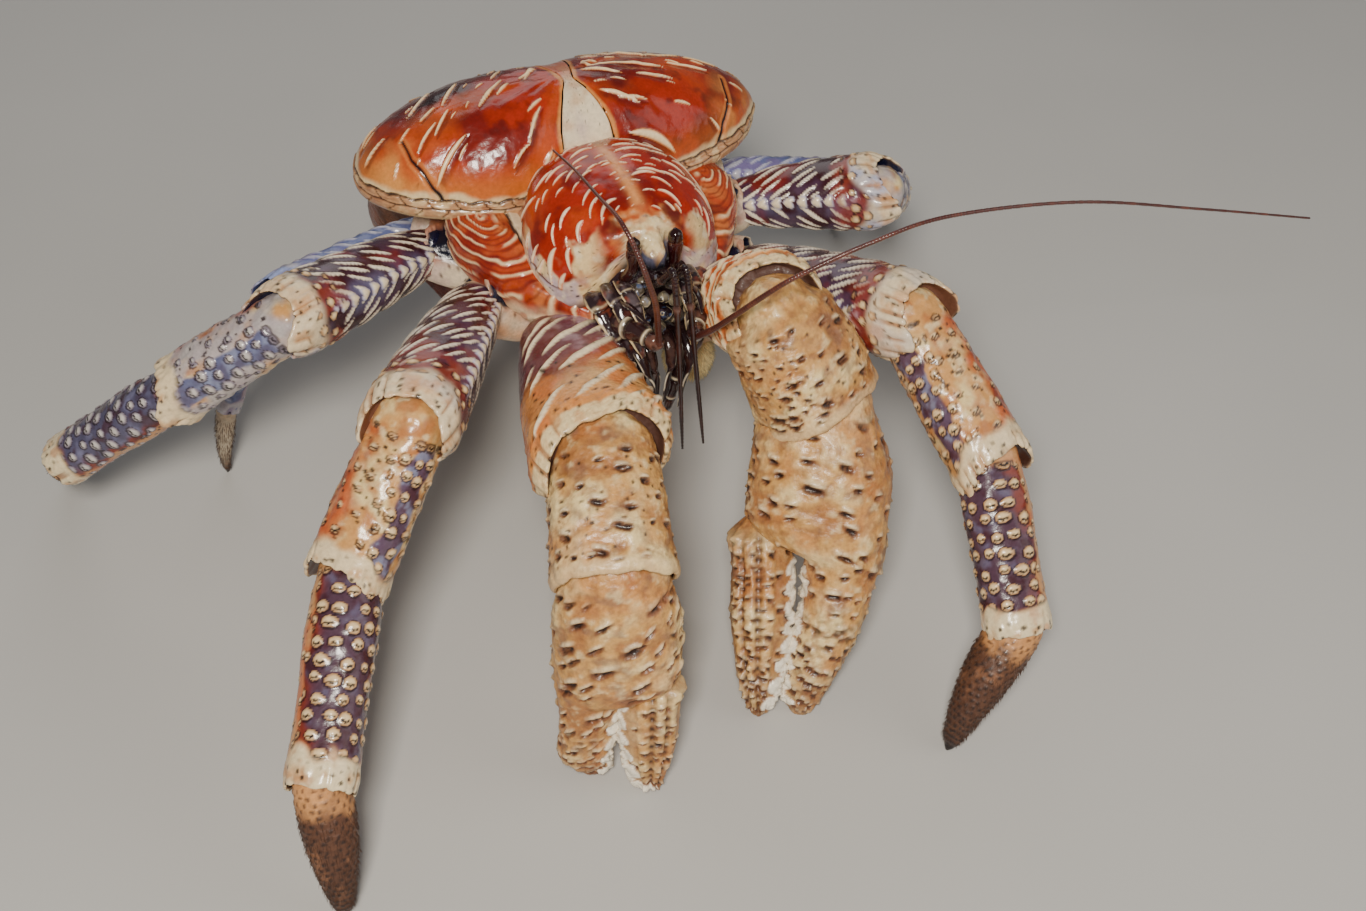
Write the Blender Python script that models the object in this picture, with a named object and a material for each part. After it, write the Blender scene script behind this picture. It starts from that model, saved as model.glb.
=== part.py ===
"""Coconut crab, Birgus latro: a still, life-size model in a walking stance.

Metres, +Z up, resting on z = 0. The crab faces -Y, so its right side is at -X. The origin is
on the floor under the middle of the whole model. Each sub-part is one closed solid. A limb is
a chain of segments, each set in a socket that is cut in the one before it.
"""
import math

import bmesh
import bpy
from mathutils import Matrix, Vector
from mathutils.bvhtree import BVHTree

# where the middle of the neck groove stands over the floor, seen from the origin
BODY_AT = Vector((-0.0125, 0.0469, 0.0))
# the shell leans a little, its right side up
BODY_ROLL = math.radians(3.0)
GROOVE_HEIGHT = 0.165

# the gap between solids that meet
GAP = 0.0005
# how thick a slit is that parts two plates of one shell
SLIT = 0.0007

SIDES = 12
# faces closer to one plane than this are joined again after a cut
FLAT_ANGLE = math.radians(0.6)
# a cut that leaves less than this share of a solid has failed, and is made again another way
LEAST_KEPT = 0.3

# shell behind the neck groove
DOME_BACK = 0.070
DOME_TOP = 0.0130
DOME_RIM = -0.022
DOME_THICKNESS = 0.011

SEGMENTS = ("base", "merus", "carpus", "hand", "finger")

# Limbs, each with the place of its hip beside the middle of the groove, and for each segment
# the compass turn from straight ahead (to the crab's left is plus), the lift above level,
# the length, and the full width and depth where it is thickest. A lift of None lowers the
# segment until its tip is on the floor.
LIMBS = {
    "claw_right": {
        "hip": (-0.020, -0.046, 0.104),
        "turn": (-65, -9, -16, -24, -28),
        "lift": (30, 3, -31, -78, None),
        "length": (0.017, 0.075, 0.048, 0.094, 0.050),
        "width": (0.030, 0.056, 0.047, 0.049, 0.022),
        "depth": (0.028, 0.042, 0.040, 0.036, 0.020),
        "sides": 12,
    },
    "claw_left": {
        "hip": (0.020, -0.046, 0.104),
        "turn": (56, 4, 29, -37, -25),
        "lift": (24, 32, -57, -56, None),
        "length": (0.020, 0.054, 0.042, 0.128, 0.078),
        "width": (0.030, 0.042, 0.050, 0.058, 0.025),
        "depth": (0.030, 0.042, 0.046, 0.042, 0.023),
        "sides": 12,
    },
    "leg_2_right": {
        "hip": (-0.033, -0.024, 0.105),
        "turn": (-88, -35, -57, -30, -10),
        "lift": (25, 8, -44, -30, None),
        "length": (0.028, 0.088, 0.058, 0.080, 0.056),
        "width": (0.028, 0.037, 0.032, 0.0270, 0.0215),
        "depth": (0.028, 0.034, 0.029, 0.0240, 0.0190),
        "sides": 10,
    },
    "leg_2_left": {
        "hip": (0.033, -0.024, 0.105),
        "turn": (57, 26, 11, -11, -69),
        "lift": (14, 11, -34, -43, None),
        "length": (0.029, 0.084, 0.064, 0.067, 0.058),
        "width": (0.028, 0.037, 0.032, 0.0270, 0.0215),
        "depth": (0.028, 0.034, 0.029, 0.0240, 0.0190),
        "sides": 10,
    },
    "leg_3_right": {
        "hip": (-0.036, 0.006, 0.105),
        "turn": (-120, -64, -105, -119, -180),
        "lift": (14, 7, -32, -38, None),
        "length": (0.033, 0.077, 0.057, 0.073, 0.066),
        "width": (0.027, 0.033, 0.028, 0.0235, 0.0190),
        "depth": (0.027, 0.031, 0.026, 0.0220, 0.0170),
        "sides": 10,
    },
    "leg_3_left": {
        "hip": (0.036, 0.006, 0.105),
        "turn": (87, 60, 146, 149, 151),
        "lift": (13, 9, -36, -37, None),
        "length": (0.036, 0.062, 0.058, 0.074, 0.066),
        "width": (0.027, 0.033, 0.028, 0.0235, 0.0190),
        "depth": (0.027, 0.031, 0.026, 0.0220, 0.0170),
        "sides": 10,
    },
    "leg_4_right": {
        "hip": (-0.035, 0.034, 0.105),
        "turn": (-115, -84, -117, -86, -85),
        "lift": (4, -9, -54, -64, None),
        "length": (0.029, 0.065, 0.031, 0.037, 0.041),
        "width": (0.021, 0.0170, 0.0155, 0.0145, 0.0095),
        "depth": (0.021, 0.0170, 0.0145, 0.0130, 0.0085),
        "sides": 8,
    },
    "leg_4_left": {
        "hip": (0.035, 0.034, 0.105),
        "turn": (88, 72, 148, 149, 150),
        "lift": (7, -9, -40, -44, None),
        "length": (0.040, 0.054, 0.038, 0.048, 0.054),
        "width": (0.021, 0.0170, 0.0155, 0.0145, 0.0095),
        "depth": (0.021, 0.0170, 0.0145, 0.0130, 0.0085),
        "sides": 8,
    },
}

# Outline of each kind of segment: where along it, then the width and depth there as shares of
# its full width and depth, then how far its middle is shifted to the side and up, in widths.
OUTLINES = {
    "base": ((-0.45, 0.50, 0.50, 0, 0), (-0.2, 0.85, 0.85, 0, 0), (0.3, 1.0, 1.0, 0, 0),
             (0.8, 0.96, 0.96, 0, 0), (1.05, 0.80, 0.80, 0, 0), (1.25, 0.45, 0.45, 0, 0)),
    "merus": ((-0.10, 0.22, 0.22, 0, 0), (-0.05, 0.44, 0.44, 0, 0), (0.06, 0.60, 0.60, 0, 0),
              (0.40, 0.80, 0.86, 0, 0.02), (0.78, 0.95, 0.97, 0, 0.02), (0.92, 1.0, 1.0, 0, 0.02),
              (1.02, 0.92, 0.91, 0, 0.02), (1.09, 0.68, 0.68, 0, 0)),
    "carpus": ((-0.10, 0.48, 0.48, 0, 0), (-0.04, 0.74, 0.74, 0, 0), (0.08, 0.88, 0.88, 0, 0),
               (0.40, 0.95, 0.96, 0, 0.02), (0.75, 1.0, 1.0, 0, 0.02), (1.0, 0.97, 0.97, 0, 0),
               (1.07, 0.66, 0.66, 0, 0)),
    "hand": ((-0.08, 0.42, 0.42, 0, 0), (-0.03, 0.72, 0.72, 0, 0), (0.06, 0.90, 0.90, 0, 0),
             (0.30, 1.0, 1.0, 0, 0.02), (0.70, 0.94, 0.94, 0, 0.02), (0.98, 0.90, 0.90, 0, 0),
             (1.05, 0.62, 0.62, 0, 0)),
    "finger": ((-0.08, 0.40, 0.40, 0, 0), (0.0, 0.84, 0.84, 0, 0), (0.14, 0.98, 0.98, 0, 0.05),
               (0.38, 0.90, 0.90, 0, 0.14), (0.65, 0.66, 0.66, 0, 0.16), (0.88, 0.36, 0.36, 0, 0.08),
               (0.99, 0.19, 0.19, 0, 0)),
    "claw_finger": ((-0.08, 0.40, 0.40, 0, 0), (0.0, 0.84, 0.84, 0, 0), (0.14, 1.0, 1.0, 0, 0.05),
                    (0.38, 0.98, 0.96, 0, 0.10), (0.65, 0.82, 0.78, 0, 0.10), (0.88, 0.50, 0.46, 0, 0.05),
                    (0.99, 0.25, 0.24, 0, 0)),
}
# a claw's hand is its palm and the finger that doesn't move, which stands on one side of it
PALM_SHARE = {"claw_right": 0.50, "claw_left": 0.42}
# how far the palm bulges to the fixed finger's side, in widths
PALM_BULGE = {"claw_right": 0.0, "claw_left": 0.10}
# the side of the movable finger: plus is along the hand's own X
FINGER_SIDE = {"claw_right": 1, "claw_left": -1}
# how stout the far half of the fixed finger is
FINGER_GIRTH = {"claw_right": 1.25, "claw_left": 1.0}

COLOURS = {
    "shell": ((0.46, 0.055, 0.020), 0.25),
    "plate": ((0.80, 0.66, 0.44), 0.35),
    "cheek": ((0.50, 0.12, 0.040), 0.30),
    "flesh": ((0.78, 0.62, 0.42), 0.45),
    "abdomen": ((0.34, 0.16, 0.09), 0.45),
    "claw": ((0.66, 0.42, 0.20), 0.45),
    "leg": ((0.30, 0.13, 0.12), 0.40),
    "blue": ((0.20, 0.24, 0.42), 0.40),
    "spike": ((0.16, 0.08, 0.05), 0.55),
    "eye": ((0.06, 0.008, 0.006), 0.10),
    "feeler": ((0.13, 0.045, 0.03), 0.35),
}


def clear_scene():
    for obj in list(bpy.data.objects):
        bpy.data.objects.remove(obj, do_unlink=True)


def material(name):
    """Principled material of one of the named colours."""
    found = bpy.data.materials.get(name)
    if found:
        return found
    colour, roughness = COLOURS[name]
    made = bpy.data.materials.new(name)
    made.use_nodes = True
    shader = made.node_tree.nodes["Principled BSDF"]
    shader.inputs["Base Color"].default_value = (*colour, 1.0)
    shader.inputs["Roughness"].default_value = roughness
    shader.inputs["Metallic"].default_value = 0.0
    return made


def between(table, t):
    """Row of a table at t, on a straight line between its own rows."""
    if t <= table[0][0]:
        return table[0][1:]
    for low, high in zip(table, table[1:]):
        if t <= high[0]:
            share = (t - low[0]) / (high[0] - low[0])
            return tuple(a + (b - a) * share for a, b in zip(low[1:], high[1:]))
    return table[-1][1:]


def oval(half_width, half_depth, power, sides):
    """Points of a rounded oval; a power over 2 squares its corners."""
    points = []
    for k in range(sides):
        angle = 2 * math.pi * k / sides
        c, s = math.cos(angle), math.sin(angle)
        points.append((math.copysign(abs(c) ** (2 / power), c) * half_width,
                       math.copysign(abs(s) ** (2 / power), s) * half_depth))
    return points


def skin(name, rings):
    """Closed mesh over rings with the same number of points, its two ends fanned shut."""
    bm = bmesh.new()
    loops = [[bm.verts.new(p) for p in ring] for ring in rings]
    count = len(loops[0])
    for low, high in zip(loops, loops[1:]):
        for k in range(count):
            bm.faces.new((low[k], low[(k + 1) % count], high[(k + 1) % count], high[k]))
    for loop in (loops[0], loops[-1]):
        middle = bm.verts.new(sum((v.co for v in loop), Vector()) / count)
        for k in range(count):
            bm.faces.new((loop[k], loop[(k + 1) % count], middle))
    bmesh.ops.triangulate(bm, faces=bm.faces[:])
    bmesh.ops.recalc_face_normals(bm, faces=bm.faces[:])
    mesh = bpy.data.meshes.new(name)
    bm.to_mesh(mesh)
    bm.free()
    mesh.shade_smooth()
    mesh.set_sharp_from_angle(angle=math.radians(50))
    return mesh


def place(name, mesh, colour, matrix=None):
    """Object of a mesh, parented to the model's root."""
    obj = bpy.data.objects.new(name, mesh)
    bpy.context.scene.collection.objects.link(obj)
    if colour:
        mesh.materials.append(material(colour))
        obj.parent = bpy.data.objects["root"]
    if matrix:
        obj.matrix_local = matrix
    return obj


def largest_part(mesh):
    """Keeps the largest closed surface of a mesh."""
    bm = bmesh.new()
    bm.from_mesh(mesh)
    unseen = set(bm.faces)
    parts = []
    while unseen:
        stack = [unseen.pop()]
        part = []
        while stack:
            face = stack.pop()
            part.append(face)
            for edge in face.edges:
                for other in edge.link_faces:
                    if other in unseen:
                        unseen.remove(other)
                        stack.append(other)
        parts.append(part)
    parts.sort(key=lambda part: sum(face.calc_area() for face in part))
    spare = [face for part in parts[:-1] for face in part]
    if spare:
        bmesh.ops.delete(bm, geom=spare, context="FACES")
    bmesh.ops.dissolve_limit(bm, angle_limit=FLAT_ANGLE, verts=bm.verts[:], edges=bm.edges[:])
    bmesh.ops.triangulate(bm, faces=bm.faces[:])
    bmesh.ops.recalc_face_normals(bm, faces=bm.faces[:])
    bm.to_mesh(mesh)
    bm.free()


def closed_volume(mesh):
    bm = bmesh.new()
    bm.from_mesh(mesh)
    volume = bm.calc_volume()
    bm.free()
    return volume


def shaped_mesh(obj, others, operation, solver):
    """Mesh of obj with other closed objects joined to it or cut out of it."""
    group = bpy.data.collections.new("operands")
    bpy.context.scene.collection.children.link(group)
    for other in others:
        group.objects.link(other)
    modifier = obj.modifiers.new("shape", "BOOLEAN")
    modifier.operand_type = "COLLECTION"
    modifier.collection = group
    modifier.operation = operation
    modifier.solver = solver
    bpy.context.view_layer.update()
    shaped = obj.evaluated_get(bpy.context.evaluated_depsgraph_get())
    mesh = bpy.data.meshes.new_from_object(shaped)
    obj.modifiers.clear()
    bpy.data.collections.remove(group)
    if mesh.polygons:
        largest_part(mesh)
    return mesh


def surface_tree(obj, mesh):
    return BVHTree.FromPolygons([obj.matrix_world @ v.co for v in mesh.vertices],
                                [p.vertices[:] for p in mesh.polygons])


def combine(obj, others, operation, clear_of=()):
    """Joins or cuts by the first solver that leaves a sound solid clear of the objects named."""
    least = LEAST_KEPT * closed_volume(obj.data)
    walls = [surface_tree(other, other.data) for other in clear_of]
    for solver in ("EXACT", "MANIFOLD"):
        mesh = shaped_mesh(obj, others, operation, solver)
        if closed_volume(mesh) > least:
            tree = surface_tree(obj, mesh)
            if not any(tree.overlap(wall) for wall in walls):
                break
    obj.data = mesh
    mesh.name = obj.name
    for other in others:
        bpy.data.objects.remove(other, do_unlink=True)


def grown(obj):
    """Copy of an object whose surface lies one gap further out."""
    bm = bmesh.new()
    bm.from_mesh(obj.data)
    bm.normal_update()
    moves = [(v, v.normal * (GAP * min(v.calc_shell_factor(), 2.2))) for v in bm.verts]
    for vertex, move in moves:
        vertex.co += move
    mesh = bpy.data.meshes.new("cutter")
    bm.to_mesh(mesh)
    bm.free()
    return place("cutter", mesh, None, obj.matrix_world.copy())


def make_room(name, *others):
    """Cuts the room that other sub-parts need, and the gap round them, out of one."""
    bpy.context.view_layer.update()
    tools = [bpy.data.objects[other] for other in others]
    combine(bpy.data.objects[name], [grown(tool) for tool in tools], "DIFFERENCE", tools)


def floor_cut(obj):
    """Cuts off what reaches below the floor, which leaves a small flat."""
    bm = bmesh.new()
    bm.from_mesh(obj.data)
    bm.transform(obj.matrix_world)
    cut = bmesh.ops.bisect_plane(bm, geom=bm.verts[:] + bm.edges[:] + bm.faces[:],
                                 plane_co=(0, 0, 0), plane_no=(0, 0, -1), clear_outer=True)
    rim = [e for e in cut["geom_cut"] if isinstance(e, bmesh.types.BMEdge)]
    bmesh.ops.holes_fill(bm, edges=rim, sides=0)
    bmesh.ops.triangulate(bm, faces=bm.faces[:])
    bmesh.ops.recalc_face_normals(bm, faces=bm.faces[:])
    bm.transform(obj.matrix_world.inverted())
    bm.to_mesh(obj.data)
    bm.free()


def heading(turn, lift):
    """Unit vector for a compass turn from -Y and a lift, both in degrees."""
    turn, lift = math.radians(turn), math.radians(lift)
    return Vector((math.sin(turn) * math.cos(lift), -math.cos(turn) * math.cos(lift), math.sin(lift)))


def limb_frame(start, along):
    """Matrix whose Z runs along a segment and whose Y is its upper side."""
    z = along.normalized()
    y = (Vector((0, 0, 1)) - z * z.z).normalized()
    x = y.cross(z)
    matrix = Matrix((x, y, z)).transposed().to_4x4()
    matrix.translation = start
    return matrix


def body_point(x, y, z):
    """Place beside the middle of the groove, z from the floor, leant with the shell."""
    lifted = Vector((x, y, z - GROOVE_HEIGHT))
    return Matrix.Rotation(BODY_ROLL, 3, "Y") @ lifted + Vector((0, 0, GROOVE_HEIGHT)) + BODY_AT


def segment_rings(length, width, depth, outline, sides, power=2.3):
    """Rings of one segment along its own Z, one at each mark of its outline."""
    rings = []
    for mark, wide, deep, side, up in outline:
        ring = oval(width * wide / 2, depth * deep / 2, power, sides)
        rings.append([(x + side * width, y + up * depth, mark * length) for x, y in ring])
    return rings


def claw_hand_outline(name):
    """A claw's palm, then its fixed finger on one side."""
    palm = PALM_SHARE[name]
    side = -FINGER_SIDE[name]
    bulge = PALM_BULGE[name] * side
    girth = FINGER_GIRTH[name]
    return ((-0.06, 0.30, 0.30, 0, 0), (-0.02, 0.62, 0.62, 0, 0), (0.05, 0.86, 0.86, bulge * 0.3, 0),
            (palm * 0.5, 0.99, 1.0, bulge * 0.9, 0.02), (palm * 0.88, 1.0, 0.98, bulge, 0.02),
            (palm + 0.02, 0.86, 0.88, side * 0.07 + bulge, 0.02),
            (palm + 0.06, 0.54, 0.80, side * 0.22 + bulge, 0.02),
            (palm + 0.22, 0.45, 0.64, side * 0.25 + bulge * 0.6, 0.03),
            (0.86, 0.33 * girth, 0.44 * girth, side * 0.22 * girth, 0.03),
            (0.96, 0.22 * girth, 0.28 * girth, side * 0.18 * girth, 0.0),
            (1.01, 0.12 * girth, 0.15 * girth, side * 0.16 * girth, 0.0))


def limb_joints(name):
    """Joint places along a limb and the direction of each segment."""
    limb = LIMBS[name]
    points = [body_point(*limb["hip"])]
    ways = []
    for k in range(len(SEGMENTS)):
        lift = limb["lift"][k]
        start = points[k]
        if k == 4 and name.startswith("claw"):
            start = points[3] + ways[3] * limb["length"][3] * PALM_SHARE[name]
            across = limb_frame(start, ways[3]).col[0].to_3d()
            start = start + across * FINGER_SIDE[name] * limb["width"][3] * 0.27
            points[4] = start
        if lift is None:
            lift = -math.degrees(math.asin(min(1.0, start.z / limb["length"][k])))
        way = heading(limb["turn"][k], lift)
        ways.append(way)
        points.append(start + way * limb["length"][k])
    return points, ways


def segment_mesh(name, k):
    limb = LIMBS[name]
    kind = SEGMENTS[k]
    outline = OUTLINES[kind]
    if name.startswith("claw") and kind == "hand":
        outline = claw_hand_outline(name)
    if name.startswith("claw") and kind == "finger":
        outline = OUTLINES["claw_finger"]
    rings = segment_rings(limb["length"][k], limb["width"][k], limb["depth"][k], outline, limb["sides"])
    return skin(f"{name}_{kind}", rings)


def limb_colour(name, kind):
    if kind == "base":
        return "flesh"
    if name.startswith("claw"):
        return "claw"
    if kind == "finger":
        return "spike"
    return "blue" if name.startswith("leg_4") else "leg"


def build_limb(name):
    """Segments of one limb, each cut to hold the base of the next."""
    points, ways = limb_joints(name)
    for k, kind in enumerate(SEGMENTS):
        obj = place(f"{name}_{kind}", segment_mesh(name, k), limb_colour(name, kind),
                    limb_frame(points[k], ways[k]))
        bpy.context.view_layer.update()
        if k > 0:
            make_room(f"{name}_{SEGMENTS[k - 1]}", obj.name)
    if name.startswith("claw"):
        floor_cut(bpy.data.objects[f"{name}_hand"])
    floor_cut(bpy.data.objects[f"{name}_finger"])


def body_rings(stations):
    """Rings across the body, each a list of points in the plane of one y."""
    return [[body_point(*p) for p in ring] for ring in stations]


def arch(y, half_width, top, side, floor, count=14, power=2.2):
    """Ring across the body: an arch over the top and a flat floor below."""
    ring = []
    for k in range(count + 1):
        angle = math.pi * k / count
        c, s = math.cos(angle), math.sin(angle)
        x = math.copysign(abs(c) ** (2 / power), c) * half_width
        ring.append((x, y, side + (abs(s) ** (2 / power)) * (top - side)))
    for share in (-0.92, -0.45, 0.0, 0.45, 0.92):
        ring.append((half_width * share, y, floor))
    return ring


# how deep the shield's lower edge is
SHIELD_EDGE = 0.004
# along the shield from the groove to the beak: y, half width, top and side heights
SHIELD_ROWS = (
    (0.0015, 0.016, 0.1620, 0.1540), (-0.004, 0.026, 0.1665, 0.1500), (-0.012, 0.0335, 0.1690, 0.1450),
    (-0.024, 0.0385, 0.1705, 0.1395), (-0.036, 0.0395, 0.1700, 0.1350), (-0.047, 0.0375, 0.1680, 0.1315),
    (-0.054, 0.0325, 0.1655, 0.1300), (-0.0580, 0.0265, 0.1645, 0.1320), (-0.0603, 0.0190, 0.1638, 0.1400),
    (-0.0620, 0.0085, 0.1628, 0.1520), (-0.0655, 0.0055, 0.1612, 0.1540), (-0.0690, 0.0044, 0.1592, 0.1540),
    (-0.0715, 0.0026, 0.1572, 0.1545),
)


def shield_mesh(name):
    rows = [arch(y, half_width, top, side, side - SHIELD_EDGE) for y, half_width, top, side in SHIELD_ROWS]
    return skin(name, body_rings(rows))


# plan of the dome's left half, from the notch in front to the notch behind
DOME_PLAN = ((0.000, -0.002), (0.020, -0.005), (0.040, -0.004), (0.056, 0.001), (0.072, 0.009),
             (0.083, 0.019), (0.089, 0.031), (0.087, 0.045), (0.077, 0.058), (0.060, 0.067),
             (0.036, 0.072), (0.016, 0.070), (0.000, 0.066))


def dome_mesh(name):
    """Heart-shaped dome, as rings that close in on its crown, above and below."""
    left = [Vector(p) for p in DOME_PLAN]
    plan = left + [Vector((-p.x, p.y)) for p in reversed(left[1:-1])]
    crown = Vector((0.0, 0.030))
    rim = GROOVE_HEIGHT + DOME_RIM
    steps = ((0.02, 1), (0.25, 1), (0.45, 1), (0.62, 1), (0.76, 1), (0.87, 1), (0.95, 1), (1.0, 1),
             (1.0, 0), (0.96, 0), (0.86, 0), (0.5, 0), (0.02, 0))
    rings = []
    for share, above in steps:
        ring = []
        for p in plan:
            flat = crown + (p - crown) * share
            fall = (1 - share ** 2.5) ** 0.62
            shoulder = 1.0 - 0.22 * max(0.0, (flat.y - crown.y) / (DOME_BACK - crown.y))
            if above:
                z = rim + (DOME_TOP - DOME_RIM) * fall * shoulder + 0.002
            else:
                z = rim - DOME_THICKNESS * (1 - share ** 3) - (0.003 if share == 1.0 else 0.005)
            ring.append(body_point(flat.x, flat.y, z))
        rings.append(ring)
    return skin(name, rings)


def prism(name, plan, base, top):
    """Upright block over a plan outline."""
    rings = [[body_point(x, y, z) for x, y in plan] for z in (base, top)]
    return place(name, skin(name, rings), None)


# the pale plate on the dome's midline, wide at the groove and narrow behind
PLATE_LINE = ((0.0120, -0.012), (0.0105, 0.004), (0.0085, 0.012), (0.0050, 0.026), (0.0022, 0.040),
              (0.0035, 0.052), (0.0065, 0.066), (0.0080, 0.090))


def plate_plan(side, offset):
    return [(side * (x + offset), y) for x, y in PLATE_LINE]


def build_dome():
    """The dome's two lobes and the plate between them."""
    tall = (GROOVE_HEIGHT - 0.06, GROOVE_HEIGHT + 0.05)
    half = SLIT / 2
    for side, name in ((-1, "carapace_right"), (1, "carapace_left")):
        obj = place(name, dome_mesh(name), "shell")
        plan = plate_plan(side, half) + [(-side * 0.12, 0.09), (-side * 0.12, -0.012)]
        combine(obj, [prism("cutter", plan, *tall)], "DIFFERENCE")
        make_room(name, "cephalic_shield")
    obj = place("cardiac_plate", dome_mesh("cardiac_plate"), "plate")
    plans = [plate_plan(side, -half) + [(side * 0.12, 0.09), (side * 0.12, -0.012)] for side in (-1, 1)]
    combine(obj, [prism(f"cutter_{k}", plan, *tall) for k, plan in enumerate(plans)], "DIFFERENCE")
    make_room("cardiac_plate", "cephalic_shield")


# along each side plate, from under the dome to the mouth: y, outer x, top, lower edge
SIDE_ROWS = (
    (0.022, 0.055, 0.136, 0.124), (0.008, 0.0605, 0.141, 0.122), (-0.006, 0.0625, 0.142, 0.119),
    (-0.018, 0.0600, 0.140, 0.117), (-0.030, 0.0540, 0.137, 0.115), (-0.042, 0.0460, 0.134, 0.114),
    (-0.053, 0.0350, 0.130, 0.113), (-0.061, 0.0240, 0.126, 0.113),
)
SIDE_INNER = 0.0300


def side_plate_mesh(name, side):
    rings = []
    for y, outer, top, low in SIDE_ROWS:
        inner = min(SIDE_INNER, outer - 0.010)
        middle = Vector(((outer + inner) / 2, (top + low) / 2))
        ring = oval((outer - inner) / 2, (top - low) / 2, 3.0, SIDES)
        rings.append([body_point(side * (middle.x + x), y, middle.y + z) for x, z in ring])
    return skin(name, rings)


# along the trunk: y, half width, top, underside
TRUNK_ROWS = (
    (-0.066, 0.010, 0.140, 0.112), (-0.062, 0.017, 0.146, 0.104), (-0.054, 0.024, 0.150, 0.094),
    (-0.040, 0.0290, 0.152, 0.089), (-0.020, 0.0340, 0.152, 0.088), (0.004, 0.0380, 0.150, 0.088),
    (0.028, 0.0390, 0.145, 0.090), (0.048, 0.0360, 0.142, 0.096), (0.060, 0.0280, 0.138, 0.104),
)


def trunk_mesh(name):
    rings = []
    for y, half_width, top, low in TRUNK_ROWS:
        ring = oval(half_width, (top - low) / 2, 3.2, 16)
        rings.append([body_point(x, y, (top + low) / 2 + z) for x, z in ring])
    return skin(name, rings)


# along the abdomen, curled under: y and z of its middle, half width, half depth
ABDOMEN_ROWS = (
    (0.052, 0.118, 0.036, 0.016), (0.068, 0.114, 0.050, 0.024), (0.086, 0.104, 0.062, 0.029),
    (0.102, 0.088, 0.066, 0.030), (0.108, 0.070, 0.064, 0.029), (0.102, 0.053, 0.056, 0.026),
    (0.088, 0.042, 0.044, 0.021), (0.070, 0.036, 0.030, 0.014), (0.058, 0.035, 0.018, 0.008),
)
TERGITES = 5
TERGITE_STEP = 0.0035


def abdomen_mesh(name):
    """Bent trunk of the abdomen with broad plates that overlap down its back."""
    rows = [(k, *row) for k, row in enumerate(ABDOMEN_ROWS)]
    last = len(rows) - 1
    marks = []
    for plate in range(TERGITES):
        start = 1.0 + plate * 1.15
        for share in (0.0, 0.93, 0.97):
            marks.append((start + share * 1.15, share))
    marks = [(0.0, 0.97), (0.6, 0.97)] + [m for m in marks if m[0] < last - 0.2] + [(last, 0.0)]
    rings = []
    for t, share in marks:
        y, z, half_width, half_depth = between(rows, t)
        ahead = between(rows, min(last, t + 0.5))
        behind = between(rows, max(0, t - 0.5))
        along = Vector((0, ahead[0] - behind[0], ahead[1] - behind[1])).normalized()
        outward = Vector((0, -along.z, along.y))
        rise = TERGITE_STEP * (share if share < 0.95 else 0.0)
        ring = []
        for x, up in oval(half_width, half_depth, 2.4, 16):
            plate = rise * max(0.0, min(1.0, up / half_depth + 0.55))
            spot = outward * (up + plate)
            ring.append(body_point(x * (1 + plate / half_width), y + spot.y, z + spot.z))
        rings.append(ring)
    return skin(name, rings)


def rod_mesh(name, points, radii, sides=8, flatten=1.0):
    """Round rod along points with a radius at each."""
    spots = [Vector(p) for p in points]
    rings = []
    for k, spot in enumerate(spots):
        along = (spots[min(k + 1, len(spots) - 1)] - spots[max(k - 1, 0)]).normalized()
        side = along.cross(Vector((0.05, 0.1, 1.0))).normalized()
        up = side.cross(along)
        rings.append([spot + side * x + up * y
                      for x, y in oval(radii[k], radii[k] * flatten, 2.0, sides)])
    return skin(name, rings)


def curve_through(points, count):
    """Evenly numbered points on a smooth curve through the given ones."""
    spots = [Vector(p) for p in points]
    ends = [spots[0] * 2 - spots[1]] + spots + [spots[-1] * 2 - spots[-2]]
    made = []
    for step in range(count):
        t = step / (count - 1) * (len(spots) - 1)
        k = min(int(t), len(spots) - 2)
        s = t - k
        a, b, c, d = ends[k:k + 4]
        made.append(((b * 2) + (c - a) * s + (a * 2 - b * 5 + c * 4 - d) * s ** 2
                     + (b * 3 - a - c * 3 + d) * s ** 3) / 2)
    return made


def body_points(points):
    return [body_point(*p) for p in points]


# small parts of the head, as routes beside the groove, z from the floor
EYE_ROUTE = ((0.0105, -0.0600, 0.1400), (0.0098, -0.0640, 0.1440), (0.0090, -0.0672, 0.1500),
             (0.0088, -0.0674, 0.1560), (0.0088, -0.0670, 0.1615), (0.0087, -0.0665, 0.1640))
EYE_RADII = (0.0026, 0.0025, 0.0023, 0.0031, 0.0028, 0.0012)
ANTENNULE_ROUTE = ((0.0032, -0.0600, 0.1400), (0.0030, -0.0740, 0.1450), (0.0027, -0.0835, 0.1560),
                   (0.0026, -0.0868, 0.1600), (0.0027, -0.0895, 0.1540), (0.0033, -0.0965, 0.1250),
                   (0.0041, -0.1020, 0.1000), (0.0046, -0.1050, 0.0840))
ANTENNULE_RADII = (0.0016, 0.0016, 0.0015, 0.0014, 0.0014, 0.0011, 0.0009, 0.0005)
ANTENNULE_LEAN = 0.0035
BASE_ROUTE = ((0.0185, -0.0560, 0.1240), (0.0175, -0.0670, 0.1265), (0.0145, -0.0790, 0.1300),
              (0.0100, -0.0875, 0.1300), (0.0084, -0.0912, 0.1300), (0.0076, -0.0942, 0.1300))
BASE_RADII = (0.0046, 0.0050, 0.0044, 0.0034, 0.0037, 0.0022)
MAXILLIPED_ROUTE = ((0.0095, -0.0540, 0.1060), (0.0095, -0.0660, 0.1080), (0.0082, -0.0750, 0.1040),
                    (0.0060, -0.0770, 0.0920), (0.0042, -0.0765, 0.0820), (0.0034, -0.0760, 0.0775))
MAXILLIPED_RADII = (0.0048, 0.0050, 0.0040, 0.0034, 0.0025, 0.0010)
MAXILLIPED_LEAN = 0.0015
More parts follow.
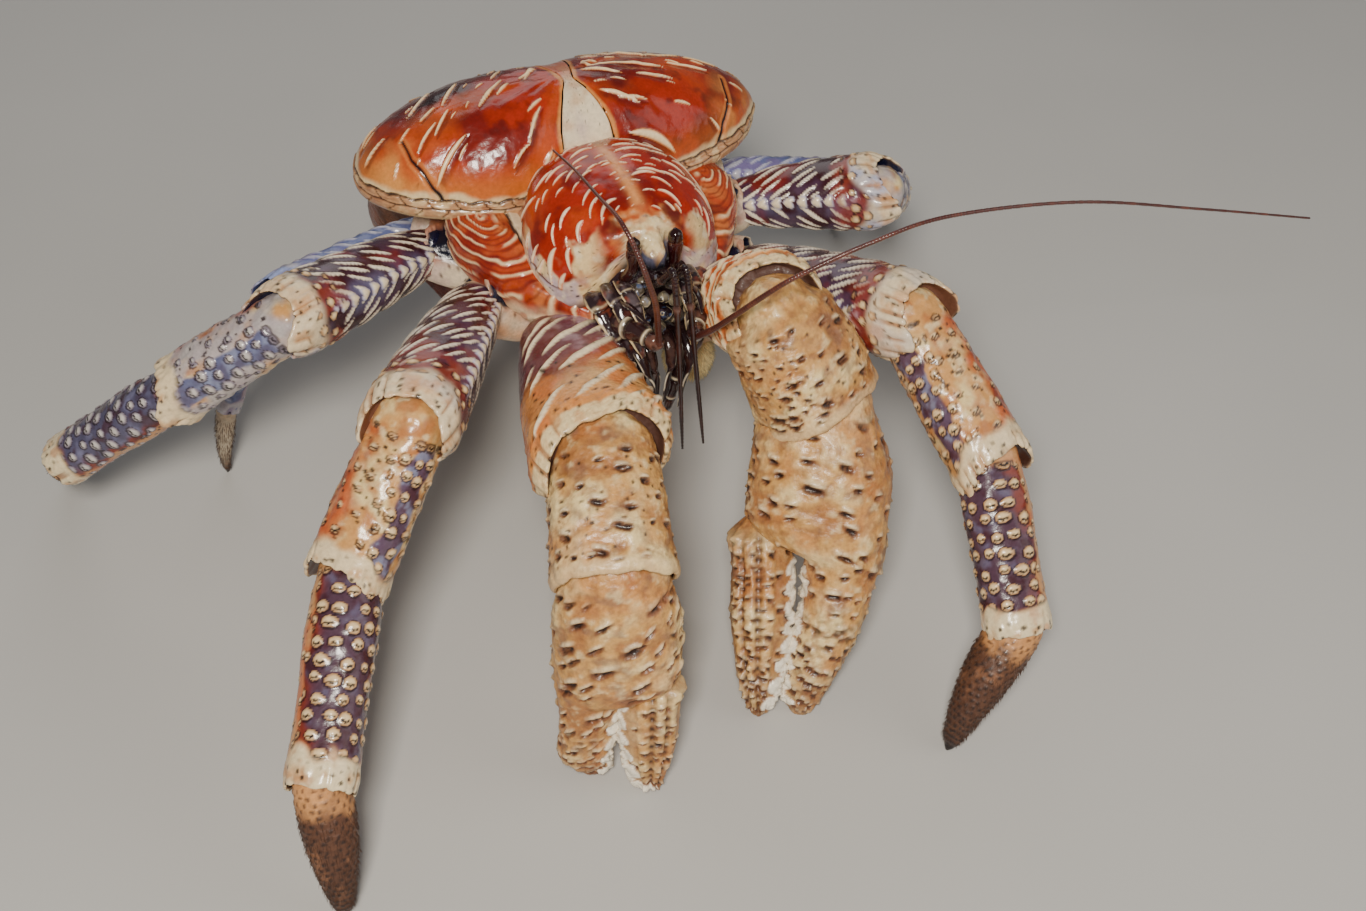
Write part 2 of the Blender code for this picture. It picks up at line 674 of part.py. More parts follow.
# the right feeler lies back over the shield, the left one reaches out to the side
FEELER_RIGHT = ((-0.0080, -0.0928, 0.1305), (-0.0135, -0.1000, 0.1560), (-0.0177, -0.1010, 0.1700),
                (-0.0204, -0.0980, 0.1796), (-0.0229, -0.0920, 0.1874), (-0.0231, -0.0820, 0.1883),
                (-0.0220, -0.0640, 0.1837), (-0.0214, -0.0370, 0.1789), (-0.0220, -0.0150, 0.1745))
FEELER_LEFT = ((0.0080, -0.0928, 0.1300), (0.0105, -0.1020, 0.1400), (0.0148, -0.1140, 0.1560),
               (0.0212, -0.1240, 0.1710), (0.0289, -0.1310, 0.1818), (0.0530, -0.1370, 0.1941),
               (0.0842, -0.1390, 0.1996), (0.1428, -0.1380, 0.1909), (0.2049, -0.1360, 0.1712),
               (0.2679, -0.1340, 0.1498))
FEELER_BASE_RADIUS = 0.0014
FEELER_TIP_RADIUS = 0.0005


def mirrored(points, side, lean=0.0):
    """Route on one side, leant across toward its end."""
    last = len(points) - 1
    return [(side * x + lean * k / last, y, z) for k, (x, y, z) in enumerate(points)]


def head_part(name, colour, points, radii, sides=8, flatten=1.0):
    place(name, rod_mesh(name, body_points(points), radii, sides, flatten), colour)


def build_head():
    for side, hand in ((-1, "right"), (1, "left")):
        head_part(f"eye_{hand}", "eye", mirrored(EYE_ROUTE, side), EYE_RADII)
        head_part(f"antennule_{hand}", "feeler", mirrored(ANTENNULE_ROUTE, side, ANTENNULE_LEAN),
                  ANTENNULE_RADII)
        head_part(f"antenna_base_{hand}", "flesh", mirrored(BASE_ROUTE, side), BASE_RADII)
        head_part(f"maxilliped_{hand}", "feeler", mirrored(MAXILLIPED_ROUTE, side, MAXILLIPED_LEAN),
                  MAXILLIPED_RADII, flatten=0.7)
    for hand, points, count in (("right", FEELER_RIGHT, 18), ("left", FEELER_LEFT, 26)):
        radii = [FEELER_BASE_RADIUS + (FEELER_TIP_RADIUS - FEELER_BASE_RADIUS) * k / (count - 1)
                 for k in range(count)]
        head_part(f"antenna_{hand}", "feeler", curve_through(points, count), radii, 6)
        make_room(f"antenna_base_{hand}", f"antenna_{hand}")


def fit_body():
    """Cuts the sub-parts of the body so that each meets the next face to face."""
    dome = ("carapace_right", "carapace_left", "cardiac_plate")
    for hand in ("right", "left"):
        claw, leg_2, leg_3, leg_4 = (f"{kind}_{hand}" for kind in ("claw", "leg_2", "leg_3", "leg_4"))
        side_plate = f"side_plate_{hand}"
        make_room(side_plate, "cephalic_shield", *dome, f"{claw}_merus", f"{leg_2}_merus",
                  f"antenna_base_{hand}")
        make_room(f"{claw}_base", side_plate)
        make_room(f"maxilliped_{hand}", f"{claw}_base")
        make_room(f"antenna_base_{hand}", f"{claw}_base", f"{claw}_merus")
        make_room(f"{leg_2}_base", f"{claw}_base", side_plate)
        make_room(f"{leg_3}_base", f"{leg_2}_base", side_plate)
        make_room(f"{leg_4}_base", f"{leg_3}_base", *dome)
        make_room("cephalic_shield", f"eye_{hand}", f"antennule_{hand}", f"antenna_base_{hand}")
    make_room("abdomen", *dome)
    kinds = ("side_plate_{}", "claw_{}_base", "claw_{}_merus", "leg_2_{}_base", "leg_3_{}_base",
             "leg_4_{}_base", "eye_{}", "antennule_{}", "antenna_base_{}", "maxilliped_{}")
    around = [kind.format(hand) for kind in kinds for hand in ("right", "left")]
    make_room("thorax", "cephalic_shield", *dome, "abdomen", *around)


def main():
    clear_scene()
    root = bpy.data.objects.new("root", None)
    bpy.context.scene.collection.objects.link(root)
    place("cephalic_shield", shield_mesh("cephalic_shield"), "shell")
    build_dome()
    place("thorax", trunk_mesh("thorax"), "flesh")
    place("abdomen", abdomen_mesh("abdomen"), "abdomen")
    for side, hand in ((-1, "right"), (1, "left")):
        name = f"side_plate_{hand}"
        place(name, side_plate_mesh(name, side), "cheek")
    for name in LIMBS:
        build_limb(name)
    build_head()
    fit_body()


main()
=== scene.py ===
"""Still, life-size model of a coconut crab: the fine shell, colours and bristles over its solids."""

import math

import bpy
import numpy as np
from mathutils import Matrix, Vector


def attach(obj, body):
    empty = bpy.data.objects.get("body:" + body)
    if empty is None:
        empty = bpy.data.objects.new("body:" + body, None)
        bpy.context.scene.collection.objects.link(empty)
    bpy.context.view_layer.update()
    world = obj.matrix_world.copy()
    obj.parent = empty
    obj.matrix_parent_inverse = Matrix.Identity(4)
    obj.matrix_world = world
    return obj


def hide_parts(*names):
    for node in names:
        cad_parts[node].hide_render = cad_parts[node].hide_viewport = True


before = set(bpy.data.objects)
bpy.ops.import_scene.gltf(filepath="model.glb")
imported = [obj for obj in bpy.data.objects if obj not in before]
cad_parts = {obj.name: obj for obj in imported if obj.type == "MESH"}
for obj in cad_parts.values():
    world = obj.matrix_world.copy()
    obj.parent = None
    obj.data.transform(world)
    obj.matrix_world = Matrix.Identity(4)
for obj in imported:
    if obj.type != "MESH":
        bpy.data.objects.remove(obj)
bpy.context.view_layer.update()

# where the middle of the neck groove stands over the floor, and how the shell leans
BODY_AT = np.array([-0.0125, 0.0469, 0.0])
BODY_ROLL = math.radians(3.0)
GROOVE_HEIGHT = 0.165
# how fine the meshes are, against the finest
FINENESS = 0.665
HANDS = ((-1, "right"), (1, "left"))

# Stage, lengths in metres and angles in degrees
CAMERA_FROM_BODY = np.array([-0.2265, -0.6023, 0.6058])
CAMERA_TURN = (46, 0, -24)
LENS_MM, SENSOR_MM = 49.45, 36
FLOOR_HALF = 3.0
FLOOR_TONES = ((0.50, 0.49, 0.47, 1), (0.56, 0.55, 0.53, 1))
# place, watts, width and colour of each lamp
LIGHTS = {
    "key": ((-0.42, -0.80, 1.00), 17, 0.24, (1.0, 0.94, 0.84)),
    "fill": ((0.75, -0.60, 0.70), 2.2, 0.8, (1.0, 0.97, 0.93)),
    "back": ((0.15, 0.95, 0.75), 1.8, 0.7, (1.0, 1.0, 1.0)),
}
LIGHT_TARGET = BODY_AT + (0, -0.05, 0.09)
SKY_COLOUR, SKY_STRENGTH = (0.55, 0.56, 0.58, 1), 0.24

SEGMENTS = ("base", "merus", "carpus", "hand", "finger")

# Limbs: the hip beside the middle of the groove, then for each segment the compass turn from
# straight ahead, the lift above level and the length. A lift of None lowers the segment until
# its tip is on the floor.
LIMBS = {
    "claw_right": {
        "hip": (-0.020, -0.046, 0.104),
        "turn": (-65, -9, -16, -24, -28),
        "lift": (30, 3, -31, -78, None),
        "length": (0.017, 0.075, 0.048, 0.094, 0.050),
    },
    "claw_left": {
        "hip": (0.020, -0.046, 0.104),
        "turn": (56, 4, 29, -37, -25),
        "lift": (24, 32, -57, -56, None),
        "length": (0.020, 0.054, 0.042, 0.128, 0.078),
    },
    "leg_2_right": {
        "hip": (-0.033, -0.024, 0.105),
        "turn": (-88, -35, -57, -30, -10),
        "lift": (25, 8, -44, -30, None),
        "length": (0.028, 0.088, 0.058, 0.080, 0.056),
    },
    "leg_2_left": {
        "hip": (0.033, -0.024, 0.105),
        "turn": (57, 26, 11, -11, -69),
        "lift": (14, 11, -34, -43, None),
        "length": (0.029, 0.084, 0.064, 0.067, 0.058),
    },
    "leg_3_right": {
        "hip": (-0.036, 0.006, 0.105),
        "turn": (-120, -64, -105, -119, -180),
        "lift": (14, 7, -32, -38, None),
        "length": (0.033, 0.077, 0.057, 0.073, 0.066),
    },
    "leg_3_left": {
        "hip": (0.036, 0.006, 0.105),
        "turn": (87, 60, 146, 149, 151),
        "lift": (13, 9, -36, -37, None),
        "length": (0.036, 0.062, 0.058, 0.074, 0.066),
    },
    "leg_4_right": {
        "hip": (-0.035, 0.034, 0.105),
        "turn": (-115, -84, -117, -86, -85),
        "lift": (4, -9, -54, -64, None),
        "length": (0.029, 0.065, 0.031, 0.037, 0.041),
    },
    "leg_4_left": {
        "hip": (0.035, 0.034, 0.105),
        "turn": (88, 72, 148, 149, 150),
        "lift": (7, -9, -40, -44, None),
        "length": (0.040, 0.054, 0.038, 0.048, 0.054),
    },
}
# full width and depth of each segment; both legs of a pair share theirs
GIRTHS = {
    "claw_right": ((0.030, 0.056, 0.047, 0.049, 0.022), (0.028, 0.042, 0.040, 0.036, 0.020)),
    "claw_left": ((0.030, 0.042, 0.050, 0.058, 0.025), (0.030, 0.042, 0.046, 0.042, 0.023)),
    "leg_2": ((0.028, 0.037, 0.032, 0.0270, 0.0215), (0.028, 0.034, 0.029, 0.0240, 0.0190)),
    "leg_3": ((0.027, 0.033, 0.028, 0.0235, 0.0190), (0.027, 0.031, 0.026, 0.0220, 0.0170)),
    "leg_4": ((0.021, 0.0170, 0.0155, 0.0145, 0.0095), (0.021, 0.0170, 0.0145, 0.0130, 0.0085)),
}
for limb_name, limb in LIMBS.items():
    pair = limb_name if limb_name in GIRTHS else limb_name[:5]
    limb["width"], limb["depth"] = GIRTHS[pair]

# Outline of each kind of segment. A row gives how far along it is, the width and depth as shares
# of the full ones, and the shift of its middle to the side and up, in widths and depths.
OUTLINES = {
    "base": ((-0.45, 0.50, 0.50, 0, 0), (-0.2, 0.85, 0.85, 0, 0), (0.3, 1.0, 1.0, 0, 0),
             (0.8, 0.98, 0.98, 0, 0), (1.02, 0.90, 0.90, 0, 0)),
    "merus": ((-0.10, 0.22, 0.22, 0, 0), (-0.05, 0.44, 0.44, 0, 0), (0.06, 0.60, 0.60, 0, 0),
              (0.40, 0.80, 0.86, 0, 0.02), (0.78, 0.95, 0.97, 0, 0.02), (0.92, 1.0, 1.0, 0, 0.02),
              (1.02, 0.93, 0.92, 0, 0.02), (1.05, 0.88, 0.87, 0, 0.02)),
    "carpus": ((-0.10, 0.48, 0.48, 0, 0), (-0.04, 0.76, 0.76, 0, 0), (0.08, 0.90, 0.90, 0, 0),
               (0.40, 0.95, 0.96, 0, 0.02), (0.75, 1.0, 1.0, 0, 0.02), (1.02, 0.99, 0.99, 0, 0)),
    "hand": ((-0.08, 0.42, 0.42, 0, 0), (-0.03, 0.74, 0.74, 0, 0), (0.06, 0.90, 0.90, 0, 0),
             (0.30, 1.0, 1.0, 0, 0.02), (0.70, 0.94, 0.94, 0, 0.02), (0.92, 0.97, 0.97, 0, 0),
             (1.02, 0.93, 0.93, 0, 0)),
    "finger": ((-0.08, 0.40, 0.40, 0, 0), (0.0, 0.84, 0.84, 0, 0), (0.14, 0.98, 0.98, 0, 0.05),
               (0.38, 0.90, 0.90, 0, 0.14), (0.65, 0.66, 0.66, 0, 0.16), (0.88, 0.36, 0.36, 0, 0.08),
               (0.97, 0.18, 0.18, 0, 0), (1.0, 0.05, 0.05, 0, 0)),
    "claw_finger": ((-0.08, 0.40, 0.40, 0, 0), (0.0, 0.84, 0.84, 0, 0), (0.14, 1.0, 1.0, 0, 0.05),
                    (0.38, 0.98, 0.96, 0, 0.10), (0.65, 0.82, 0.78, 0, 0.10), (0.88, 0.50, 0.46, 0, 0.05),
                    (0.97, 0.26, 0.24, 0, 0), (1.0, 0.06, 0.06, 0, 0)),
}
# a power of 2 makes a segment round, a higher one makes it squarer
SQUARENESS = 2.3
# of a claw: how much of the hand is palm, how far the palm bulges away from the movable finger,
# on which side that finger is, and how stout the fixed finger's end is
PALM_SHARE = {"claw_right": 0.50, "claw_left": 0.42}
PALM_BULGE = {"claw_right": 0.0, "claw_left": 0.10}
FINGER_SIDE = {"claw_right": 1, "claw_left": -1}
FINGER_GIRTH = {"claw_right": 1.25, "claw_left": 1.0}
# how far beside the palm's middle the movable finger starts, in widths
FINGER_ASIDE = 0.27

# How a rim turns in over the joint skin: the step ahead in rim thicknesses, the share of the rim's
# width, how far it is inside, and how much it follows the rim's lobes. The knuckle of the next
# segment fills the rim's mouth.
RIM_THICKNESS = 0.0016
MOUTH_SHARE = 0.90
RIM_ROWS = (
    (0.5, 0.985, 0.0, 1), (0.8, 0.965, 0.0, 1), (0.8, 0.945, 0.2, 1), (0.5, 0.93, 0.5, 1),
    (0.0, 0.92, 0.8, 1),
    (-1.2, MOUTH_SHARE, 1, 0.9), (-2.6, MOUTH_SHARE * 0.97, 1, 0.8), (-2.2, MOUTH_SHARE * 0.8, 1, 0.5),
    (-0.6, MOUTH_SHARE * 0.5, 1, 0.2), (0.4, 0.25, 1, 0), (0.5, 0.03, 1, 0),
)

# rows and columns of each segment's mesh at its finest
LEG_GRIDS = {"base": (70, 90), "merus": (240, 210), "carpus": (220, 220), "hand": (290, 200),
             "finger": (170, 110)}
CLAW_GRIDS = {"base": (70, 90), "merus": (240, 210), "carpus": (180, 230), "hand": (300, 250),
              "finger": (190, 150)}
# how blue the legs of a pair are
BLUENESS = {"leg_2": 0.25, "leg_3": 0.85, "leg_4": 1.0}
# the rims of the long segments reach ahead at the sides: bearing, width and reach of each lobe
LEG_LOBES = ((0, 32, 0.0075), (180, 32, 0.0075), (90, 34, -0.0015))

# Plan of the shell over the gills, beside the middle of the groove, then its crown, and the
# heights of its top and rim over the groove
DOME_PLAN = ((0.000, -0.002), (0.020, -0.005), (0.040, -0.004), (0.056, 0.001), (0.072, 0.009),
             (0.083, 0.019), (0.089, 0.031), (0.087, 0.045), (0.077, 0.058), (0.060, 0.067),
             (0.036, 0.072), (0.016, 0.070), (0.000, 0.066))
DOME_CROWN = (0.0, 0.030)
DOME_BACK = 0.070
DOME_TOP = 0.0130
DOME_RIM = -0.022
# how steeply it falls to the rim, and how much lower its back is
DOME_FALL, SHOULDER_DROP = (2.5, 0.62), 0.22
# middle of a lobe in plan, the height of its underside under the rim, the rows of its mesh down
# its wall, and the shares of its plan that close it below
LOBE_CENTRE = (0.045, 0.031)
LOBE_FLOOR = 0.003
LOBE_WALL_ROWS = 14
LOBE_UNDER = (0.985, 0.95, 0.85, 0.6, 0.3, 0.02)

# side groove of each lobe, in plan, mirrored for the other side
LOBE_GROOVE = ((0.061, 0.002), (0.067, 0.010), (0.071, 0.018), (0.072, 0.026))

# two rows of plates along the rim: the length of one, and the tops of both rows
BRICK_LENGTH = 0.0115
BRICK_MIDDLE, BRICK_TOP = 0.0031, 0.0068

# half width of the pale plate between the lobes, by distance behind the groove
PLATE_LINE = ((-0.012, 0.0120), (0.004, 0.0108), (0.010, 0.0086), (0.018, 0.0050), (0.025, 0.0022),
              (0.033, 0.0040), (0.045, 0.0058), (0.066, 0.0068), (0.090, 0.0080))
PLATE_SPAN = (-0.0018, 0.0672)
PLATE_THICKNESS = 0.004
GROOVE_WIDTH = 0.0008

# where the head shield starts behind the groove, how far it reaches ahead, and its edge's thickness
SHIELD_BACK, SHIELD_LENGTH, SHIELD_EDGE = 0.0015, 0.073, 0.004
# Cross-sections of the head shield: how far behind the groove, half width, height of its top and
# height of its edge
SHIELD_ROWS = (
    (0.0015, 0.016, 0.1620, 0.1540), (-0.004, 0.026, 0.1665, 0.1500), (-0.012, 0.0335, 0.1690, 0.1450),
    (-0.024, 0.0385, 0.1705, 0.1395), (-0.036, 0.0395, 0.1700, 0.1350), (-0.047, 0.0375, 0.1680, 0.1315),
    (-0.054, 0.0325, 0.1655, 0.1300), (-0.0580, 0.0265, 0.1645, 0.1320), (-0.0603, 0.0190, 0.1638, 0.1400),
    (-0.0620, 0.0085, 0.1628, 0.1520), (-0.0655, 0.0055, 0.1612, 0.1540), (-0.0690, 0.0044, 0.1592, 0.1540),
    (-0.0715, 0.0026, 0.1572, 0.1545),
)

# Cross-sections of a side plate: how far behind the groove, distance of its outer side from the
# midline, and the heights of its top and its lower edge
SIDE_ROWS = (
    (0.022, 0.055, 0.136, 0.124), (0.008, 0.0605, 0.141, 0.122), (-0.006, 0.0625, 0.142, 0.119),
    (-0.018, 0.0600, 0.140, 0.117), (-0.030, 0.0540, 0.137, 0.115), (-0.042, 0.0460, 0.134, 0.114),
    (-0.053, 0.0350, 0.130, 0.113), (-0.061, 0.0240, 0.126, 0.113),
)
SIDE_INNER = 0.0300
# from one cream line to the next
SIDE_LINE_STEP = 0.0054

# Cross-sections of the thorax: how far behind the groove, half width, top and bottom
TRUNK_ROWS = (
    (-0.066, 0.010, 0.140, 0.112), (-0.062, 0.017, 0.146, 0.104), (-0.054, 0.024, 0.150, 0.094),
    (-0.040, 0.0290, 0.152, 0.089), (-0.020, 0.0340, 0.152, 0.088), (0.004, 0.0380, 0.150, 0.088),
    (0.028, 0.0390, 0.145, 0.090), (0.048, 0.0360, 0.142, 0.096), (0.060, 0.0280, 0.138, 0.104),
)

# Middle line of the abdomen: how far behind the groove, height, half width and half thickness
ABDOMEN_ROWS = (
    (0.052, 0.118, 0.036, 0.016), (0.068, 0.114, 0.050, 0.024), (0.086, 0.104, 0.062, 0.029),
    (0.102, 0.088, 0.066, 0.030), (0.108, 0.070, 0.064, 0.029), (0.102, 0.053, 0.056, 0.026),
    (0.088, 0.042, 0.044, 0.021), (0.070, 0.036, 0.030, 0.014), (0.058, 0.035, 0.018, 0.008),
)
# plates down its back: how many, and for each its length in rows and how high its edge stands
TERGITES, TERGITE_ROWS, TERGITE_RISE = 5, 1.15, 0.0035
# tufts of its skin at the finest
ABDOMEN_TUFTS = 9000

# Routes of the parts of the head on the left side, with a radius at each place
EYE_ROUTE = ((0.0105, -0.0600, 0.1400), (0.0098, -0.0640, 0.1440), (0.0090, -0.0672, 0.1500),
             (0.0088, -0.0674, 0.1560), (0.0088, -0.0670, 0.1615), (0.0087, -0.0665, 0.1640))
EYE_RADII = (0.0026, 0.0025, 0.0023, 0.0031, 0.0028, 0.0006)
ANTENNULE_ROUTE = ((0.0032, -0.0600, 0.1400), (0.0030, -0.0740, 0.1450), (0.0027, -0.0835, 0.1560),
                   (0.0026, -0.0868, 0.1600), (0.0027, -0.0895, 0.1540), (0.0033, -0.0965, 0.1250),
                   (0.0041, -0.1020, 0.1000), (0.0046, -0.1050, 0.0840))
ANTENNULE_RADII = (0.0016, 0.0016, 0.0015, 0.0014, 0.0014, 0.0011, 0.0009, 0.0005)
ANTENNULE_LEAN = 0.0035
BASE_ROUTE = ((0.0185, -0.0560, 0.1240), (0.0175, -0.0670, 0.1265), (0.0145, -0.0790, 0.1300),
              (0.0100, -0.0875, 0.1300), (0.0084, -0.0912, 0.1300), (0.0076, -0.0942, 0.1300))
BASE_RADII = (0.0046, 0.0050, 0.0044, 0.0034, 0.0037, 0.0006)
MAXILLIPED_ROUTE = ((0.0095, -0.0540, 0.1060), (0.0095, -0.0660, 0.1080), (0.0082, -0.0750, 0.1040),
                    (0.0060, -0.0770, 0.0920), (0.0042, -0.0765, 0.0820), (0.0034, -0.0760, 0.0775))
MAXILLIPED_RADII = (0.0048, 0.0050, 0.0040, 0.0034, 0.0025, 0.0006)
MAXILLIPED_LEAN = 0.0015
FEELER_RIGHT = ((-0.0080, -0.0928, 0.1305), (-0.0135, -0.1000, 0.1560), (-0.0177, -0.1010, 0.1700),
                (-0.0204, -0.0980, 0.1796), (-0.0229, -0.0920, 0.1874), (-0.0231, -0.0820, 0.1883),
                (-0.0220, -0.0640, 0.1837), (-0.0214, -0.0370, 0.1789), (-0.0220, -0.0150, 0.1745))
FEELER_LEFT = ((0.0080, -0.0928, 0.1300), (0.0105, -0.1020, 0.1400), (0.0148, -0.1140, 0.1560),
               (0.0212, -0.1240, 0.1710), (0.0289, -0.1310, 0.1818), (0.0530, -0.1370, 0.1941),
               (0.0842, -0.1390, 0.1996), (0.1428, -0.1380, 0.1909), (0.2049, -0.1360, 0.1712),
               (0.2679, -0.1340, 0.1498))
FEELER_RADII = (0.0014, 0.0005)

# routes of the pieces round the mouth on the left side, beside the middle of the groove
MOUTH_FOLDS = (
    (((0.0235, -0.0545, 0.1345), (0.0218, -0.0640, 0.1335), (0.0180, -0.0730, 0.1260),
      (0.0145, -0.0790, 0.1175), (0.0130, -0.0810, 0.1120)), (0.0012, 0.0048, 0.0050, 0.0034, 0.0008)),
    (((0.0180, -0.0570, 0.1390), (0.0162, -0.0680, 0.1375), (0.0138, -0.0775, 0.1310),
      (0.0118, -0.0830, 0.1240), (0.0108, -0.0850, 0.1190)), (0.0010, 0.0038, 0.0038, 0.0026, 0.0007)),
    (((0.0130, -0.0590, 0.1405), (0.0122, -0.0690, 0.1410), (0.0112, -0.0770, 0.1375),
      (0.0105, -0.0825, 0.1320)), (0.0010, 0.0029, 0.0024, 0.0006)),
)

# middle, half sizes and how pale it is
MOUTH_LUMPS = (
    ((0.0040, -0.0690, 0.1330), (0.0026, 0.0024, 0.0022), 0.25),
    ((0.0072, -0.0680, 0.1390), (0.0030, 0.0030, 0.0028), 0.1),
    ((0.0036, -0.0660, 0.1405), (0.0026, 0.0026, 0.0026), 0.2),
    ((0.0092, -0.0700, 0.1310), (0.0032, 0.0030, 0.0030), 0.3),
    ((0.0050, -0.0700, 0.1255), (0.0034, 0.0030, 0.0030), 0.0),
    ((0.0100, -0.0690, 0.1225), (0.0036, 0.0034, 0.0036), 0.1),
    ((0.0030, -0.0690, 0.1180), (0.0028, 0.0026, 0.0034), 0.2),
    ((0.0140, -0.0660, 0.1170), (0.0036, 0.0036, 0.0044), 0.0),
)
MOUTH_BLADES = (
    (((0.0115, -0.0620, 0.1180), (0.0112, -0.0770, 0.1190), (0.0092, -0.0850, 0.1120),
      (0.0068, -0.0860, 0.1000), (0.0055, -0.0850, 0.0880)), (0.0028, 0.0030, 0.0024, 0.0018, 0.0005)),
    (((0.0050, -0.0620, 0.1150), (0.0048, -0.0740, 0.1160), (0.0036, -0.0800, 0.1080),
      (0.0024, -0.0800, 0.0960), (0.0018, -0.0790, 0.0870)), (0.0024, 0.0026, 0.0022, 0.0016, 0.0005)),
    (((0.0150, -0.0660, 0.1360), (0.0138, -0.0800, 0.1400), (0.0112, -0.0900, 0.1385)),
     (0.0022, 0.0014, 0.0004)),
)

# middle and half sizes of each pad, beside the middle of the groove
PADS = (
    ((0.0260, -0.0560, 0.0880), (0.0075, 0.0070, 0.0120)),
    ((0.0165, -0.0590, 0.0930), (0.0045, 0.0060, 0.0110)),
)
# bristles of a pad, of a leg's tip and of a fourth leg's tip at the finest
PAD_BRISTLES, LEG_BRISTLES, FOURTH_LEG_BRISTLES = 3600, 2200, 1000
# how much a bristle's tip hangs, for its length, and the side of its patch of the map
BRISTLE_SAG, BRISTLE_PATCH = 0.22, 0.003
# distance between the rows of a claw's teeth
TOOTH_ROWS_APART = 0.0048
# how many specks, grains and pores of the shell stand along a metre
SPECKLE_SCALE, GRIT_SCALE, PORE_SCALE = 700, 1500, 520


def srgb(red, green, blue):
    """Linear colour from the 0 to 255 values a screen shows."""
    value = np.array([red, green, blue]) / 255
    return np.where(value <= 0.04045, value / 12.92, ((value + 0.055) / 1.055) ** 2.4)


# Colours. The paint steps give other colours as a screen's values.
CREAM = srgb(243, 224, 188)
IVORY = srgb(250, 240, 215)
PALE_TAN = srgb(226, 194, 146)
OCHRE = srgb(196, 128, 70)
BLACKISH = srgb(28, 10, 12)
SLATE = srgb(96, 92, 124)
LAVENDER = srgb(196, 190, 214)
NAVY = srgb(22, 24, 48)
BROWN = srgb(92, 54, 36)
GREY_PINK = srgb(206, 176, 170)


def blend(warm, cool, share):
    """Mixes two of a screen's colours in linear light."""
    return srgb(*warm) * (1 - share) + srgb(*cool) * share


def unit(v):
    """Vectors of length 1."""
    return v / np.linalg.norm(v, axis=-1, keepdims=True)


def smooth(low, high, x):
    """Rises smoothly from 0 at the low value to 1 at the high one."""
    t = np.clip((x - low) / (high - low), 0.0, 1.0)
    return t * t * (3 - 2 * t)


def fade(low, high, x):
    """Falls smoothly from 1 at the low value to 0 at the high one."""
    return 1 - smooth(low, high, x)


def between(x, start, full, last, end):
    """1 between full and last, and 0 before the start and past the end."""
    return smooth(start, full, x) * fade(last, end, x)


def bell(x, middle, width):
    """1 at the middle, and nearly 0 from two widths away."""
    return np.exp(-((x - middle) / width) ** 2)


def ripple(walk, step):
    """1 at the start of each step and 0 in its middle."""
    return np.abs((walk / step) % 1.0 - 0.5) * 2


def hashed(*keys):
    """Repeatable numbers from 0 to 1 for whole-number keys."""
    total = 0.0
    for k, key in enumerate(keys):
        total = total + key * (12.9898 + 65.233 * k)
    value = np.sin(total) * 43758.5453
    return value - np.floor(value)


def noise(points, size, seed):
    """Smooth random field from -1 to 1 with lumps of about the given size."""
    p = points / size
    cell = np.floor(p)
    f = p - cell
    f = f * f * (3 - 2 * f)
    total = 0.0
    for corner in range(8):
        step = (corner & 1, corner >> 1 & 1, corner >> 2 & 1)
        weight = 1.0
        for axis in range(3):
            weight = weight * (f[..., axis] if step[axis] else 1 - f[..., axis])
        total = total + weight * hashed(*(cell[..., axis] + step[axis] for axis in range(3)), seed)
    return total * 2 - 1


def rough_noise(points, size, seed, octaves=3):
    """The field with finer and weaker ones added."""
    total, scale = 0.0, 0.0
    for k in range(octaves):
        total = total + noise(points, size / 2 ** k, seed + k * 7) / 2 ** k
        scale += 1 / 2 ** k
    return total / scale


def curve(xs, ys, t):
    """Smooth curve through rows of values that never overshoots them."""
    xs, ys, t = np.asarray(xs, float), np.asarray(ys, float), np.asarray(t, float)
    steps = np.diff(xs)
    slopes = np.diff(ys, axis=0) / steps[:, None]
    before, after = slopes[:-1], slopes[1:]
    same = before * after > 0
    tangent = np.zeros_like(ys)
    tangent[1:-1] = np.where(same, 2 * before * after / np.where(same, before + after, 1.0), 0.0)
    tangent[0], tangent[-1] = slopes[0], slopes[-1]
    t = np.clip(t, xs[0], xs[-1])
    k = np.clip(np.searchsorted(xs, t, side="right") - 1, 0, len(xs) - 2)
    h = steps[k][..., None]
    s = (t - xs[k])[..., None] / h
    return (ys[k] * (1 + 2 * s) * (1 - s) ** 2 + tangent[k] * h * s * (1 - s) ** 2
            + ys[k + 1] * s * s * (3 - 2 * s) + tangent[k + 1] * h * s * s * (s - 1))


def spline(points, count):
    """Points along a smooth curve through the given ones."""
    spots = np.asarray(points, float)
    ends = np.vstack([spots[0] * 2 - spots[1], spots, spots[-1] * 2 - spots[-2]])
    t = np.linspace(0, len(spots) - 1, count)
    k = np.minimum(t.astype(int), len(spots) - 2)
    s = (t - k)[:, None]
    a, b, c, d = (ends[k + i] for i in range(4))
    return (b * 2 + (c - a) * s + (a * 2 - b * 5 + c * 4 - d) * s ** 2
            + (b * 3 - a - c * 3 + d) * s ** 3) / 2


def ring_points(count, power):
    """Places round a rounded square; a power of 2 gives a circle."""
    angle = np.linspace(0, 2 * math.pi, count, endpoint=False)
    c, s = np.cos(angle), np.sin(angle)
    return np.sign(c) * np.abs(c) ** (2 / power), np.sign(s) * np.abs(s) ** (2 / power)


def fine_grid(rows, cols):
    """Rows and columns of a mesh at the present fineness."""
    return int(rows * FINENESS), int(cols * FINENESS)


def body_points(points):
    """Points beside the middle of the groove, z from the floor, leant with the shell."""
    points = np.asarray(points, float)
    x, y, z = points[..., 0], points[..., 1], points[..., 2] - GROOVE_HEIGHT
    c, s = math.cos(BODY_ROLL), math.sin(BODY_ROLL)
    return np.stack([x * c + z * s, y, z * c - x * s], -1) + BODY_AT + (0, 0, GROOVE_HEIGHT)


